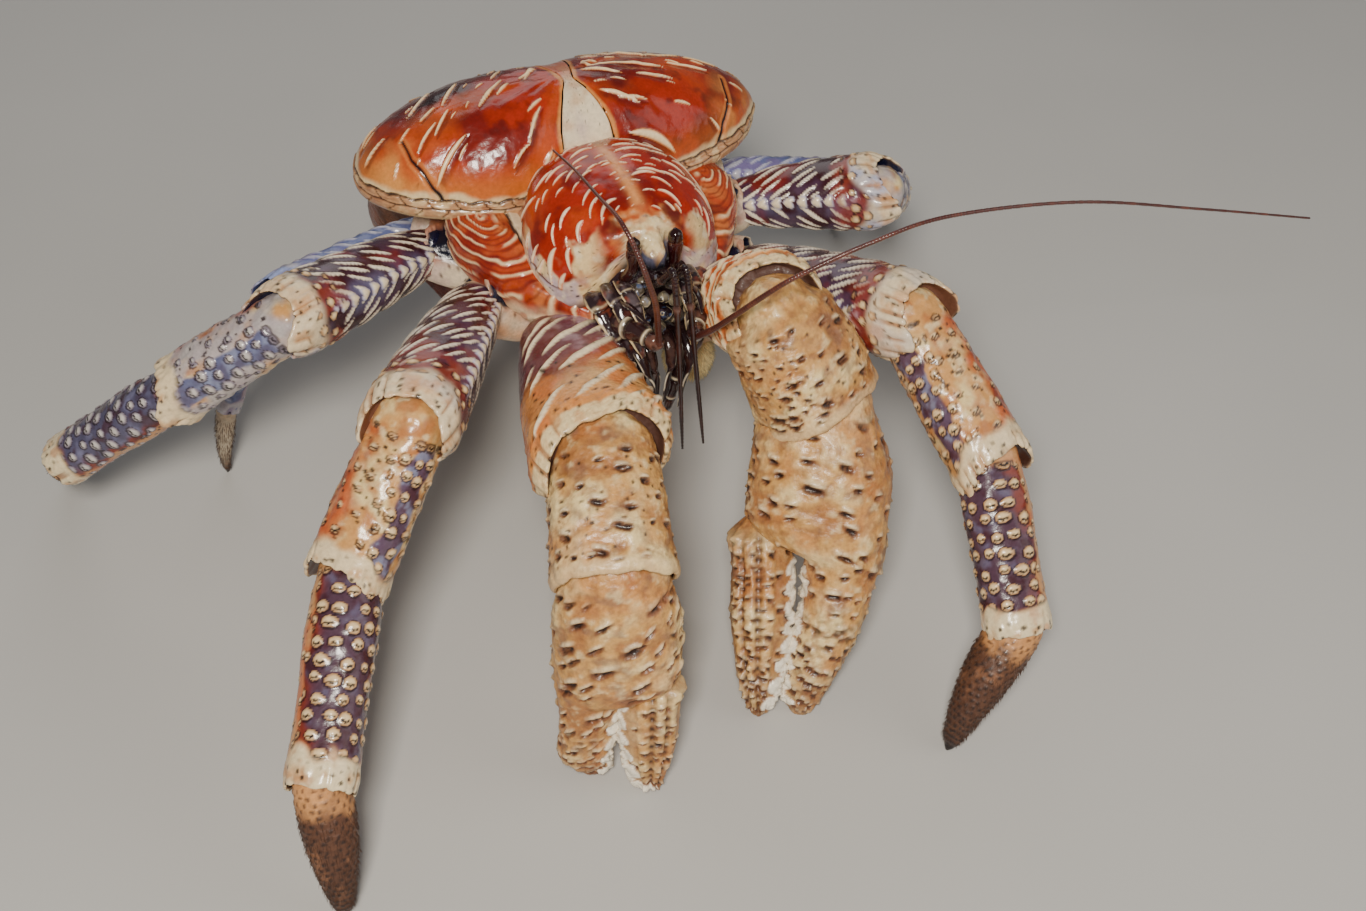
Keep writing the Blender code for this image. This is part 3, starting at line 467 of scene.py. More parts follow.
class Sheet:
    """Closed grid of points over one surface with its colours. Columns run round it, rows along it."""

    def __init__(self, points, along=None):
        self.points = points
        rows, cols = points.shape[:2]
        self.tint = np.ones((rows, cols, 3)) * CREAM
        self.rough = np.full((rows, cols), 0.35)
        self.lift = np.zeros((rows, cols))
        self.inside = np.zeros((rows, cols))
        step = np.linalg.norm(np.diff(points, axis=0), axis=2).mean(axis=1)
        travelled = np.concatenate([[0], np.cumsum(step)])
        self.along = np.broadcast_to(travelled[:, None], (rows, cols)) if along is None else along
        self.mark = self.along / self.along.max()
        self.turn = np.broadcast_to(np.linspace(0, 1, cols, endpoint=False), (rows, cols))
        girth = np.linalg.norm(np.roll(points, -1, axis=1) - points, axis=2).sum(axis=1)
        self.girth = np.broadcast_to(np.maximum(girth, 1e-4)[:, None], (rows, cols))

    def normals(self):
        along = np.gradient(self.points, axis=0)
        across = np.roll(self.points, -1, axis=1) - np.roll(self.points, 1, axis=1)
        normal = np.cross(across, along)
        return normal / np.maximum(np.linalg.norm(normal, axis=2, keepdims=True), 1e-12)

    def raised(self):
        """Points after the lift along the normals."""
        return self.points + self.normals() * self.lift[..., None]

    def settle(self):
        """Moves up every point that would be raised to a place below the floor."""
        self.points[..., 2] -= np.minimum(self.raised()[..., 2], 0.0)

    def rise(self, amount):
        self.lift = self.lift + amount

    def paint(self, colour, mask=1.0):
        """Lays on a colour: a linear array, or a tuple of a screen's values."""
        linear = srgb(*colour) if isinstance(colour, tuple) else colour
        mask = np.broadcast_to(np.clip(mask, 0, 1), self.lift.shape)[..., None]
        self.tint = self.tint + (linear - self.tint) * mask

    def blotches(self, size, seed, low, high):
        return smooth(low, high, rough_noise(self.points, size, seed))

    def mottle(self, colour, size, seed, low=0.0, high=0.4, share=1.0):
        """Lays on a colour in blotches."""
        self.paint(colour, self.blotches(size, seed, low, high) * share)

    def gloss(self, value, mask=1.0):
        self.rough = self.rough + (value - self.rough) * np.clip(mask, 0, 1)

    def gap(self, degrees):
        """Share of a full turn between each point and a bearing, from 0 to 0.5."""
        return np.abs((self.turn - degrees / 360 + 0.5) % 1 - 0.5)

    def around_from(self, degrees):
        """Signed distance round the surface from a bearing, in metres."""
        return ((self.turn - degrees / 360 + 0.5) % 1.0 - 0.5) * self.girth

    def marks(self, pitch, across, seed, jitter, slope=0.0, keel=0.0, stagger=True):
        """Offsets along and round from the nearest of scattered marks, and that mark's number.

        With a slope the rows of marks slant back on both sides of a keel."""
        count = max(3, int(round(self.girth.mean() / across)))
        q = (self.along - slope * np.abs(self.around_from(keel))) / pitch
        v = (self.turn - keel / 360) % 1.0 * count
        best = np.full(q.shape, 1e9)
        ds, dt, number = np.zeros(q.shape), np.zeros(q.shape), np.zeros(q.shape)
        for i_step in (-1, 0, 1):
            i = np.floor(q) + i_step
            shift = 0.5 * (i % 2) if stagger else 0.0
            for j_step in (-1, 0, 1):
                j = np.floor(v - shift) + j_step
                code = hashed(i, j % count, seed)
                di = q - i - 0.5 - jitter * (hashed(i, j % count, seed + 3) - 0.5)
                dj = v - j - shift - 0.5 - jitter * (code - 0.5)
                distance = di ** 2 + dj ** 2
                near = distance < best
                best = np.where(near, distance, best)
                ds = np.where(near, di * pitch, ds)
                dt = np.where(near, dj * self.girth / count, dt)
                number = np.where(near, hashed(i, j % count, seed + 9), number)
        return ds, dt, number

    def build(self, name, material, slot, replaced=()):
        rows, cols = self.lift.shape
        index = np.arange(rows * cols).reshape(rows, cols)
        beside = np.roll(index, -1, axis=1)
        quads = np.stack([index[:-1], beside[:-1], beside[1:], index[1:]], axis=-1).ravel()
        loops = np.concatenate([quads, index[0][::-1], index[-1]])
        starts = np.concatenate([np.arange(0, len(quads), 4), [len(quads), len(quads) + cols]])
        add_piece(name, self.raised().reshape(-1, 3), loops, starts, self.tint.reshape(-1, 3),
                  np.clip(self.rough, 0.05, 1).ravel(), material, replaced)


def body_sheet(x, y, z):
    """Sheet through places beside the middle of the groove."""
    return Sheet(body_points(np.stack(np.broadcast_arrays(x, y, z), -1)))


def tube(points, radii, rows, cols, flatten=1.0):
    """Sheet round a smooth route with a radius at each of its given points."""
    path = spline(points, rows)
    marks = np.linspace(0, len(radii) - 1, rows)
    radius = curve(np.arange(len(radii)), np.array(radii)[:, None], marks)
    way = unit(np.gradient(path, axis=0))
    side = unit(np.cross(way, np.array((0.05, 0.1, 1.0))))
    up = np.cross(way, side)
    cx, cz = ring_points(cols, 2.0)
    return Sheet(path[:, None] + side[:, None] * (radius * cx[None])[..., None]
                 + up[:, None] * (radius * flatten * cz[None])[..., None])


def mirrored(points, side, lean=0.0):
    """Route on one side of the head, which leans out toward its end."""
    last = len(points) - 1
    return body_points([(side * x + lean * k / last, y, z) for k, (x, y, z) in enumerate(points)])


def lump(centre, radii, rough, seed):
    """Sheet over one rounded, uneven lump."""
    rows, cols = fine_grid(70, 64)
    polar = np.linspace(0.03, math.pi - 0.03, rows)[:, None]
    turn = np.linspace(0, 2 * math.pi, cols, endpoint=False)[::-1]
    ring = np.sin(polar)
    ball = np.stack([ring * np.cos(turn), ring * np.sin(turn), np.cos(polar) + 0 * turn], -1)
    swell = 1 + rough * rough_noise(ball + seed, 0.9, seed)
    return Sheet(body_points(np.array(centre) + ball * radii * swell[..., None]))


def link(obj):
    """Puts an object into the scene."""
    bpy.context.scene.collection.objects.link(obj)
    return obj


def add_piece(name, points, loops, starts, tint, rough, material, replaced=(), patches=None):
    """One smooth object with its colours, kept above the floor. A coat also has a map of patches."""
    points[:, 2] = np.maximum(points[:, 2], 0.0)
    mesh = bpy.data.meshes.new(name)
    mesh.vertices.add(len(points))
    mesh.vertices.foreach_set("co", points.ravel())
    mesh.loops.add(len(loops))
    mesh.loops.foreach_set("vertex_index", loops)
    mesh.polygons.add(len(starts))
    mesh.polygons.foreach_set("loop_start", starts)
    mesh.polygons.foreach_set("use_smooth", np.ones(len(starts), bool))
    mesh.update(calc_edges=True)
    colour = np.column_stack([np.clip(tint, 0, 1), np.ones(len(points))])
    mesh.color_attributes.new("Tint", "FLOAT_COLOR", "POINT").data.foreach_set("color", colour.ravel())
    mesh.attributes.new("Rough", "FLOAT", "POINT").data.foreach_set("value", rough)
    if patches is not None:
        mesh.uv_layers.new(name="OFBake").data.foreach_set("uv", patches.ravel())
    obj = link(bpy.data.objects.new(f"crab_{name}", mesh))
    mesh.materials.append(material)
    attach(obj, "root")
    if replaced:
        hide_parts(*replaced)


def feed(tree, target, inputs):
    """Gives each named input its value, or the output that drives it."""
    for key, value in inputs.items():
        if isinstance(value, bpy.types.NodeSocket):
            tree.links.new(value, target.inputs[key])
        else:
            target.inputs[key].default_value = value


def add_node(tree, kind, result, inputs=None, **settings):
    """Adds a node and returns its named output."""
    node = tree.nodes.new(f"ShaderNode{kind}")
    for key, value in settings.items():
        setattr(node, key, value)
    feed(tree, node, inputs or {})
    return node.outputs[result]


def shell_material(name, coat, grain, pore, mottle):
    """Shell whose colour and gloss come from its mesh, with fine grain and pores."""
    material = bpy.data.materials.new(name)
    material.use_nodes = True
    tree = material.node_tree
    tint = add_node(tree, "Attribute", "Color", attribute_name="Tint")
    rough = add_node(tree, "Attribute", "Fac", attribute_name="Rough")
    place = add_node(tree, "TexCoord", "Object")
    speckle = add_node(tree, "TexNoise", "Fac", {"Vector": place, "Scale": SPECKLE_SCALE, "Detail": 5})
    shade = add_node(tree, "MapRange", "Result", {
        "Value": speckle, "From Min": 0.3, "From Max": 0.7, "To Min": 1 - mottle, "To Max": 1 + mottle * 0.5})
    colour = add_node(tree, "VectorMath", "Vector", {0: tint, "Scale": shade}, operation="SCALE")
    grit = add_node(tree, "TexNoise", "Fac", {"Vector": place, "Scale": GRIT_SCALE, "Detail": 4})
    pores = add_node(tree, "TexVoronoi", "Distance", {"Vector": place, "Scale": PORE_SCALE})
    fine = add_node(tree, "Bump", "Normal", {"Strength": grain, "Distance": 0.0004, "Height": grit})
    pitted = add_node(tree, "Bump", "Normal", {
        "Strength": pore, "Distance": 0.0005, "Height": pores, "Normal": fine})
    feed(tree, tree.nodes["Principled BSDF"], {
        "Base Color": colour, "Roughness": rough, "Normal": pitted, "Coat Weight": coat,
        "Coat Roughness": 0.12})
    return material


GLOSSY = shell_material("glossy shell", 0.26, 0.14, 0.10, 0.14)
SATIN = shell_material("satin shell", 0.12, 0.35, 0.30, 0.18)
WET = shell_material("wet joint skin", 0.8, 0.15, 0.0, 0.10)
LEATHER = shell_material("leathery skin", 0.05, 0.7, 0.5, 0.25)
BRISTLE = shell_material("bristles", 0.0, 0.1, 0.0, 0.30)


def oval_bump(ds, dt, long_way, wide_way):
    """Rounded bump from 1 in its middle to 0 at its edge."""
    return np.sqrt(np.clip(1 - (ds / long_way) ** 2 - (dt / wide_way) ** 2, 0, 1))


def crack_lines(sheet, size, width, seed):
    """Thin wandering lines where a random field crosses its middle."""
    return fade(0, width, np.abs(rough_noise(sheet.points, size, seed, 4)))


def slashes(u, v, pitch_u, pitch_v, half_long, half_wide, seed, present, bow):
    """Scattered tapered streaks along v: how far each place is up the nearest one."""
    best = np.zeros(np.shape(u))
    for a in (-1, 0, 1):
        for b in (-1, 0, 1):
            i, j = np.floor(u / pitch_u) + a, np.floor(v / pitch_v) + b
            size = 0.45 + 0.85 * hashed(i, j, seed + 1)
            du = u - (i + 0.5 + 0.7 * (hashed(i, j, seed + 2) - 0.5)) * pitch_u
            dv = v - (j + 0.5 + 0.7 * (hashed(i, j, seed + 3) - 0.5)) * pitch_v
            tilt = 0.5 * (hashed(i, j, seed + 4) - 0.5)
            e = (dv + du * tilt) / np.sqrt(1 + tilt ** 2) / (half_long * size)
            across = (du - dv * tilt) / np.sqrt(1 + tilt ** 2) + bow * half_long * size * e ** 2
            wide = half_wide * size * np.clip(1 - e ** 2, 0, 1) ** 0.8 + 1e-7
            here = (np.abs(e) < 1) * (hashed(i, j, seed) < present)
            best = np.maximum(best, np.clip(1 - (across / wide) ** 2, 0, 1) * here)
    return best


def add_specks(sheet, spacing, size, where, seed):
    """Small black pores."""
    ds, dt, number = sheet.marks(spacing, spacing, seed, jitter=0.9)
    pore = fade(0.5, 1.1, np.hypot(ds, dt) / (size * (0.5 + number))) * where * (number > 0.45)
    sheet.paint(BLACKISH, pore * 0.9)
    sheet.rise(-pore * 0.0001)


def add_tubercles(sheet, pitch, across, radius, where, seed, rise=0.0008, dots=True, cool=0.0):
    """Pale round knobs in rows, each with small black pores on its far side."""
    ds, dt, number = sheet.marks(pitch, across, seed, jitter=0.34)
    size = radius * (0.76 + 0.34 * number)
    edge = 1 + 0.08 * noise(sheet.points, 0.0016, seed)
    knob = oval_bump(ds * edge, dt, size * 0.92, size) * where
    halo = oval_bump(ds - 0.0004, dt, size * 1.15, size * 1.25) * where
    sheet.rise(knob * rise)
    sheet.paint((36, 14, 20), smooth(0.0, 0.08, halo) * 0.8)
    sheet.paint(blend((206, 160, 112), (112, 116, 146), cool), smooth(0.08, 0.35, knob))
    sheet.paint(blend((244, 214, 166), (206, 204, 206), cool), smooth(0.45, 0.9, knob) * 0.9)
    for offset, back in ((-0.45, 0.22), (0.42, 0.26), (0.0, 0.42)) if dots else ():
        pore = np.hypot(ds - size * back, dt - size * offset) / (size * 0.27)
        hole = fade(0.65, 1.1, pore) * smooth(0.0, 0.2, knob)
        sheet.paint((24, 10, 12), hole)
        sheet.rise(-hole * rise * 0.4)


def add_pits(sheet, pitch, across, size, where, seed, present, depth, tilt=0.0):
    """Dark slanting pits, each under a raised pale lip."""
    ds, dt, number = sheet.marks(pitch, across, seed, jitter=0.6)
    here = where * (number < present)
    code = hashed(np.floor(number * 1e4), seed)
    scale = size * (0.65 + 0.7 * code)
    wobble = 1 + 0.35 * noise(sheet.points, 0.0019, seed)
    lean = tilt + 0.5 * (code - 0.4)
    slant = ds + dt * lean + 0.1 * dt ** 2 / scale
    pit = np.hypot(slant / (scale * 0.56), dt / scale) * wobble
    core = np.hypot((slant + scale * 0.06) / (scale * 0.42), dt / (scale * 0.8)) * wobble
    lip = np.hypot((slant + scale * 0.66) / (scale * 0.6), dt / (scale * 1.15))
    sheet.rise(fade(0.1, 1.15, lip) * here * depth * 1.1)
    sheet.rise(-fade(0.3, 1.05, pit) * here * depth * 1.6)
    sheet.paint((246, 224, 182), fade(0.3, 1.05, lip) * here * 0.75)
    sheet.paint((112, 64, 42), fade(0.8, 1.3, pit) * here * 0.9)
    sheet.paint((42, 22, 18), fade(0.65, 1.1, core) * here)


def add_ridges(sheet, keel, slope, pitch, dash, colour, where, seed, rise, half):
    """Raised slanting dashes that lie like barbs on both sides of a keel."""
    ds, dt, number = sheet.marks(pitch, dash, seed, jitter=0.3, slope=slope, keel=keel)
    across = ds / math.sqrt(1 + slope ** 2) + 0.0003 * noise(sheet.points, 0.004, seed)
    ridge = oval_bump(across, dt, half * (0.75 + 0.5 * number), dash * (0.36 + 0.12 * number)) * where
    sheet.rise(ridge * rise)
    sheet.paint(colour, smooth(0.05, 0.55, ridge))


def wrinkled(sheet, amount):
    """Fine net of wrinkles, deepest in its lines."""
    net = crack_lines(sheet, 0.005, 0.13, 61)
    sheet.rise(-net * amount)
    sheet.paint((168, 112, 74), net * 0.4)


def add_bristles(name, roots, ways, spots, lengths, radius, colour):
    """One joined coat piece of tapered bristles that hang a little at their tips."""
    count = len(roots)
    side = unit(np.cross(ways, np.array([0.31, 0.17, 0.93])))
    up = np.cross(side, ways)
    rings = []
    for step, thick in ((-0.05, 1.0), (0.5, 0.7), (1.0, 0.0)):
        hang = np.outer(lengths * BRISTLE_SAG * step ** 2, (0, 0, 1))
        middle = roots + ways * (lengths * step)[:, None] - hang
        for corner in range(3 if thick else 1):
            angle = corner * 2 * math.pi / 3
            rings.append(middle + (side * math.cos(angle) + up * math.sin(angle)) * radius * thick)
    loops, starts = [], []
    for corner in range(3):
        after = (corner + 1) % 3
        for face in ((corner, after, after + 3, corner + 3), (corner + 3, after + 3, 6)):
            starts.append(len(loops))
            loops.extend(face)
    corners, first = np.array(loops), np.arange(count)[:, None]
    shade = 0.7 + 0.6 * hashed(np.arange(count), 3)
    tones = np.repeat(srgb(*colour)[None] * shade[:, None], len(rings), axis=0)
    # each bristle has one small patch of the map, at its root's place on the unrolled surface
    patch = np.array(((0, 0), (1, 0), (1, 1), (0, 1))) * BRISTLE_PATCH
    patches = np.clip(spots, 0, 1)[:, None] * (1 - BRISTLE_PATCH) + patch[corners % 4][None]
    add_piece(name, np.stack(rings, 1).reshape(-1, 3), (first * len(rings) + corners).ravel(),
              (first * len(corners) + np.array(starts)).ravel(), tones, np.full(count * len(rings), 0.5),
              BRISTLE, patches=patches)


def rooted(sheet, where, count, seed):
    """Places, outward ways and unrolled places of scattered roots where the mask allows them."""
    points = sheet.raised()
    step = np.linalg.norm(np.gradient(points, axis=0), axis=2)
    chance = np.clip(where * np.ones(sheet.lift.shape), 0, 1) * sheet.girth * step
    pick = np.random.default_rng(seed).choice(chance.size, count, p=(chance / chance.sum()).ravel())
    rows, cols = np.unravel_index(pick, chance.shape)
    spots = np.stack([sheet.turn[rows, cols], rows / chance.shape[0]], -1)
    return points[rows, cols], sheet.normals()[rows, cols], spots


def coat(name, sheet, where, count, seeds, lean, spread, lengths, radius, colour, slot):
    """Scattered bristles that lean one way, each a little on its own."""
    root_seed, way_seed, length_seed = seeds
    count = int(count * FINENESS)
    roots, out, spots = rooted(sheet, where, count, root_seed)
    ways = unit(out + lean + spread * (np.random.default_rng(way_seed).random(out.shape) - 0.5))
    shortest, more = lengths
    lengths = shortest + more * hashed(np.arange(count), length_seed)
    add_bristles(name, roots, ways, spots, lengths, radius, colour)


def heading(turn, lift):
    """Unit vector for a compass turn from -Y and a lift, both in degrees."""
    turn, lift = math.radians(turn), math.radians(lift)
    return np.array([math.sin(turn) * math.cos(lift), -math.cos(turn) * math.cos(lift), math.sin(lift)])


def limb_axes(way):
    """Side, upper side and direction of a segment, as rows."""
    y = unit(np.array([0.0, 0.0, 1.0]) - way * way[2])
    return np.array([np.cross(y, way), y, way])


def limb_joints(name):
    """Places of a limb's joints and the ways of its segments."""
    limb = LIMBS[name]
    points, ways = [body_points(limb["hip"])], []
    for k, (turn, lift, length) in enumerate(zip(limb["turn"], limb["lift"], limb["length"])):
        if k == 4 and name.startswith("claw"):
            # the movable finger starts beside the palm's end
            points[4] = (points[3] + ways[3] * limb["length"][3] * PALM_SHARE[name]
                         + limb_axes(ways[3])[0] * FINGER_SIDE[name] * limb["width"][3] * FINGER_ASIDE)
        if lift is None:
            lift = -math.degrees(math.asin(min(1.0, points[k][2] / length)))
        ways.append(heading(turn, lift))
        points.append(points[k] + ways[k] * length)
    return points, ways


def claw_hand_outline(name):
    """A claw's palm, then its fixed finger on one side."""
    palm = PALM_SHARE[name]
    side = -FINGER_SIDE[name]
    bulge = PALM_BULGE[name] * side
    girth = FINGER_GIRTH[name]
    return ((-0.06, 0.3, 0.3, 0, 0), (-0.02, 0.62, 0.62, 0, 0), (0.05, 0.86, 0.86, bulge * 0.3, 0),
            (palm * 0.5, 0.99, 1.0, bulge * 0.9, 0.02), (palm * 0.88, 1.0, 0.98, bulge, 0.02),
            (palm + 0.02, 0.86, 0.88, side * 0.07 + bulge, 0.02),
            (palm + 0.06, 0.54, 0.8, side * 0.22 + bulge, 0.02),
            (palm + 0.22, 0.45, 0.64, side * 0.25 + bulge * 0.6, 0.03),
            (0.86, 0.33 * girth, 0.44 * girth, side * 0.22 * girth, 0.03),
            (0.96, 0.22 * girth, 0.28 * girth, side * 0.18 * girth, 0.0),
            (1.01, 0.05, 0.06, side * 0.16 * girth, 0.0))


def knuckle(table, name, k):
    """Outline whose near end is a round knuckle that fills the rim of the segment before."""
    limb = LIMBS[name]
    width, depth = limb["width"], limb["depth"]
    before = OUTLINES[SEGMENTS[k - 1]][-1]
    fill = 0.97 * MOUTH_SHARE
    wide = min(fill * before[1] * width[k - 1] / width[k], table[2, 1] * 0.98)
    deep = min(fill * before[2] * depth[k - 1] / depth[k], table[2, 2] * 0.98)
    radius = (wide * width[k] + deep * depth[k]) / 4 / limb["length"][k]
    ball = []
    for angle in np.radians((84, 66, 48, 30, 12)):
        share = math.cos(angle)
        ball.append((-radius * 0.9 * math.sin(angle), wide * share, deep * share, 0, 0))
    return np.vstack([ball, table[table[:, 0] > 0.05]])


def rim_reach(turn, lobes):
    """How far the rim reaches ahead at each bearing, from lobes of bearing, width and reach."""
    total = 0.0
    for bearing, spread, reach in lobes:
        away = ((turn - bearing / 360 + 0.5) % 1.0 - 0.5) * 360
        total = total + reach * bell(away, 0, spread)
    return total


def segment(name, k, rows, cols, lobes, flare):
    """Sheet over one segment, its thick rim and the joint skin inside the rim."""
    limb = LIMBS[name]
    kind = SEGMENTS[k]
    claw = name.startswith("claw")
    outline = OUTLINES[kind]
    if claw and kind == "hand":
        outline = claw_hand_outline(name)
    if claw and kind == "finger":
        outline = OUTLINES["claw_finger"]
    closed = kind == "finger" or (kind == "hand" and claw)
    length, width, depth = limb["length"][k], limb["width"][k], limb["depth"][k]
    table = np.array(outline)
    if k >= 2 and not (claw and kind == "finger"):
        table = knuckle(table, name, k)
    rows, cols = fine_grid(rows, cols)
    near, far = table[0, 0], table[-1, 0]
    marks = np.linspace(near, far, rows)
    if closed:
        marks = near + (far - near) * (1 - (1 - np.linspace(0, 1, rows)) ** 1.25)
    shape = curve(table[:, 0], table[:, 1:], marks)
    inside = np.zeros(rows)
    forward = smooth(0.62, 1.0, marks) ** 1.5
    if not closed:
        wide, deep, aside, above = shape[-1]
        turn_in = np.array(RIM_ROWS)
        extra = [(wide * share, deep * share, aside, above) for share in turn_in[:, 1]]
        shape = np.vstack([shape, extra])
        marks = np.concatenate([marks, far + RIM_THICKNESS / length * turn_in[:, 0]])
        inside = np.concatenate([inside, turn_in[:, 2]])
        forward = np.concatenate([forward, turn_in[:, 3]])
    turn = np.linspace(0, 1, cols, endpoint=False)
    angle = turn * 2 * math.pi
    x, y = ring_points(cols, SQUARENESS)
    swell = 1 + flare * (smooth(0.8, 0.98, marks) * (1 - inside * 0.6))[:, None]
    local_x = x[None] * (shape[:, :1] * width / 2) * swell + shape[:, 2:3] * width
    local_y = y[None] * (shape[:, 1:2] * depth / 2) * swell + shape[:, 3:4] * depth
    local_z = marks[:, None] * length + np.zeros(cols)[None]
    if not closed:
        ring = np.stack([np.cos(angle), np.sin(angle), np.full(cols, k + length * 40)], -1)
        reach = 0.0011 * noise(ring, 0.3, 3) + 0.0004 * noise(ring, 0.12, 5) + rim_reach(turn, lobes)
        local_z = local_z + forward[:, None] * reach[None]
    points, ways = limb_joints(name)
    local = np.stack([local_x, local_y, local_z], -1)
    sheet = Sheet(points[k] + local @ limb_axes(ways[k]), along=local_z)
    sheet.mark = np.broadcast_to(marks[:, None], local_z.shape)
    sheet.inside = np.broadcast_to(inside[:, None], local_z.shape)
    return sheet


def joint_skin(sheet, colour, gloss=0.12):
    """Colour of the soft skin inside a rim."""
    inner = smooth(0.25, 0.8, sheet.inside)
    sheet.paint(colour, inner)
    sheet.gloss(gloss, inner)


def finish_rim(sheet, lobe):
    """A rim of small rounded lobes with a few dark pores, then the joint skin."""
    dt = sheet.marks(10.0, lobe, 17, jitter=0.6, stagger=False)[1]
    edge = smooth(0.9, 0.99, sheet.mark) * fade(0.2, 0.6, sheet.inside)
    swell = oval_bump(0, dt, 1, lobe * 0.55)
    sheet.rise(edge * (swell - 0.6) * 0.0013 + edge * 0.0005 * rough_noise(sheet.points, 0.004, 37))
    sheet.paint((158, 100, 62), fade(0.0, 0.3, swell) * edge * 0.75)
    sheet.mottle((204, 146, 92), 0.004, 39, 0.0, 0.5, edge * 0.65)
    add_specks(sheet, 0.0036, 0.0008, edge, 31)
    sheet.paint((96, 62, 50), smooth(0.1, 0.6, sheet.inside))


def paint_base(sheet, dark_side):
    """Pale first segment; some have a bare dark membrane beside the joint."""
    p = sheet.points
    sheet.paint((236, 214, 182))
    sheet.mottle((206, 176, 170), 0.014, 3, share=0.6)
    sheet.mottle((214, 140, 86), 0.014, 7, 0.05, 0.45, 0.7)
    sheet.mottle((176, 76, 44), 0.008, 9, share=smooth(0.7, 0.95, sheet.mark) * 0.6)
    sheet.rise(0.0008 * rough_noise(p, 0.007, 5))
    add_specks(sheet, 0.005, 0.0005, 1.0, 23)
    if dark_side is not None:
        gap = sheet.gap(dark_side)
        oval = np.hypot((sheet.mark - 0.6) / 0.5, gap / 0.125) + 0.05 * noise(p, 0.006, 8)
        inside = fade(0.85, 0.95, oval)
        rim = fade(0.0, 0.1, np.abs(oval - 1.0))
        sheet.paint((160, 96, 70), rim * 0.7)
        sheet.paint((14, 16, 34), inside)
        sheet.rise(rim * 0.001 - inside * 0.0012 + fade(0.0, 0.9, oval) * 0.001)
    joint_skin(sheet, NAVY)
    sheet.gloss(0.32)
    if dark_side is not None:
        sheet.gloss(0.08, inside)


def paint_leg_merus(sheet, keel, blue):
    """Maroon shell with barbed pale ridges on both sides of a beaded keel."""
    p = sheet.points
    sheet.paint((58, 20, 28))
    sheet.mottle((84, 58, 84), 0.01, 3, -0.1, 0.3, 0.75)
    sheet.mottle((128, 32, 24), 0.014, 5, 0.1, 0.4, 0.8)
    gap = sheet.gap(keel)
    sheet.mottle(SLATE, 0.01, 8, -0.3, 0.3, fade(0.03, 0.1, gap) * (0.4 + 0.5 * blue))
    side = np.abs(sheet.around_from(keel))
    ends = sheet.mark + 0.05 * noise(p, 0.01, 4)
    body = smooth(0.0, 0.1, sheet.mark) * fade(0.78, 0.86, ends)
    add_ridges(sheet, keel, 1.25, 0.0062, 0.0092, (240, 226, 204), body * smooth(0.0012, 0.003, side), 11,
               0.0008, 0.0008)
    ds = sheet.marks(0.0058, 0.05, 4, jitter=0.15, keel=keel, stagger=False)[0]
    knob = oval_bump(ds - side * 0.5, side, 0.0022, 0.003) * body
    sheet.rise(fade(0.0, 0.004, side) * body * 0.0008 + knob * 0.001)
    sheet.paint(LAVENDER, smooth(0.15, 0.5, knob))
    sheet.paint(CREAM, smooth(0.5, 0.85, knob))
    under = smooth(0.33, 0.43, gap)
    sheet.paint((230, 208, 174), under * 0.9)
    sheet.paint(CREAM, fade(-0.04, 0.03, sheet.mark))
    collar = smooth(0.86, 0.93, ends)
    rust = between(ends, 0.7, 0.8, 0.86, 0.93) * (1 - under)
    sheet.mottle((150, 58, 36), 0.009, 9, -0.3, 0.1, rust * 0.7)
    sheet.paint((238, 216, 178), collar)
    sheet.mottle((226, 158, 98), 0.01, 15, 0.1, 0.4, collar * 0.6 * (1 - blue * 0.6))
    sheet.mottle((180, 186, 216), 0.012, 6, share=collar * blue)
    band = between(sheet.mark, 0.78, 0.84, 0.9, 0.94) * (1 - under)
    add_tubercles(sheet, 0.0064, 0.0062, 0.0019, band, 21, dots=False)
    finish_rim(sheet, 0.0052)
    sheet.gloss(0.22)
    joint_skin(sheet, NAVY if blue > 0.5 else (104, 66, 50), 0.12 if blue > 0.5 else 0.4)


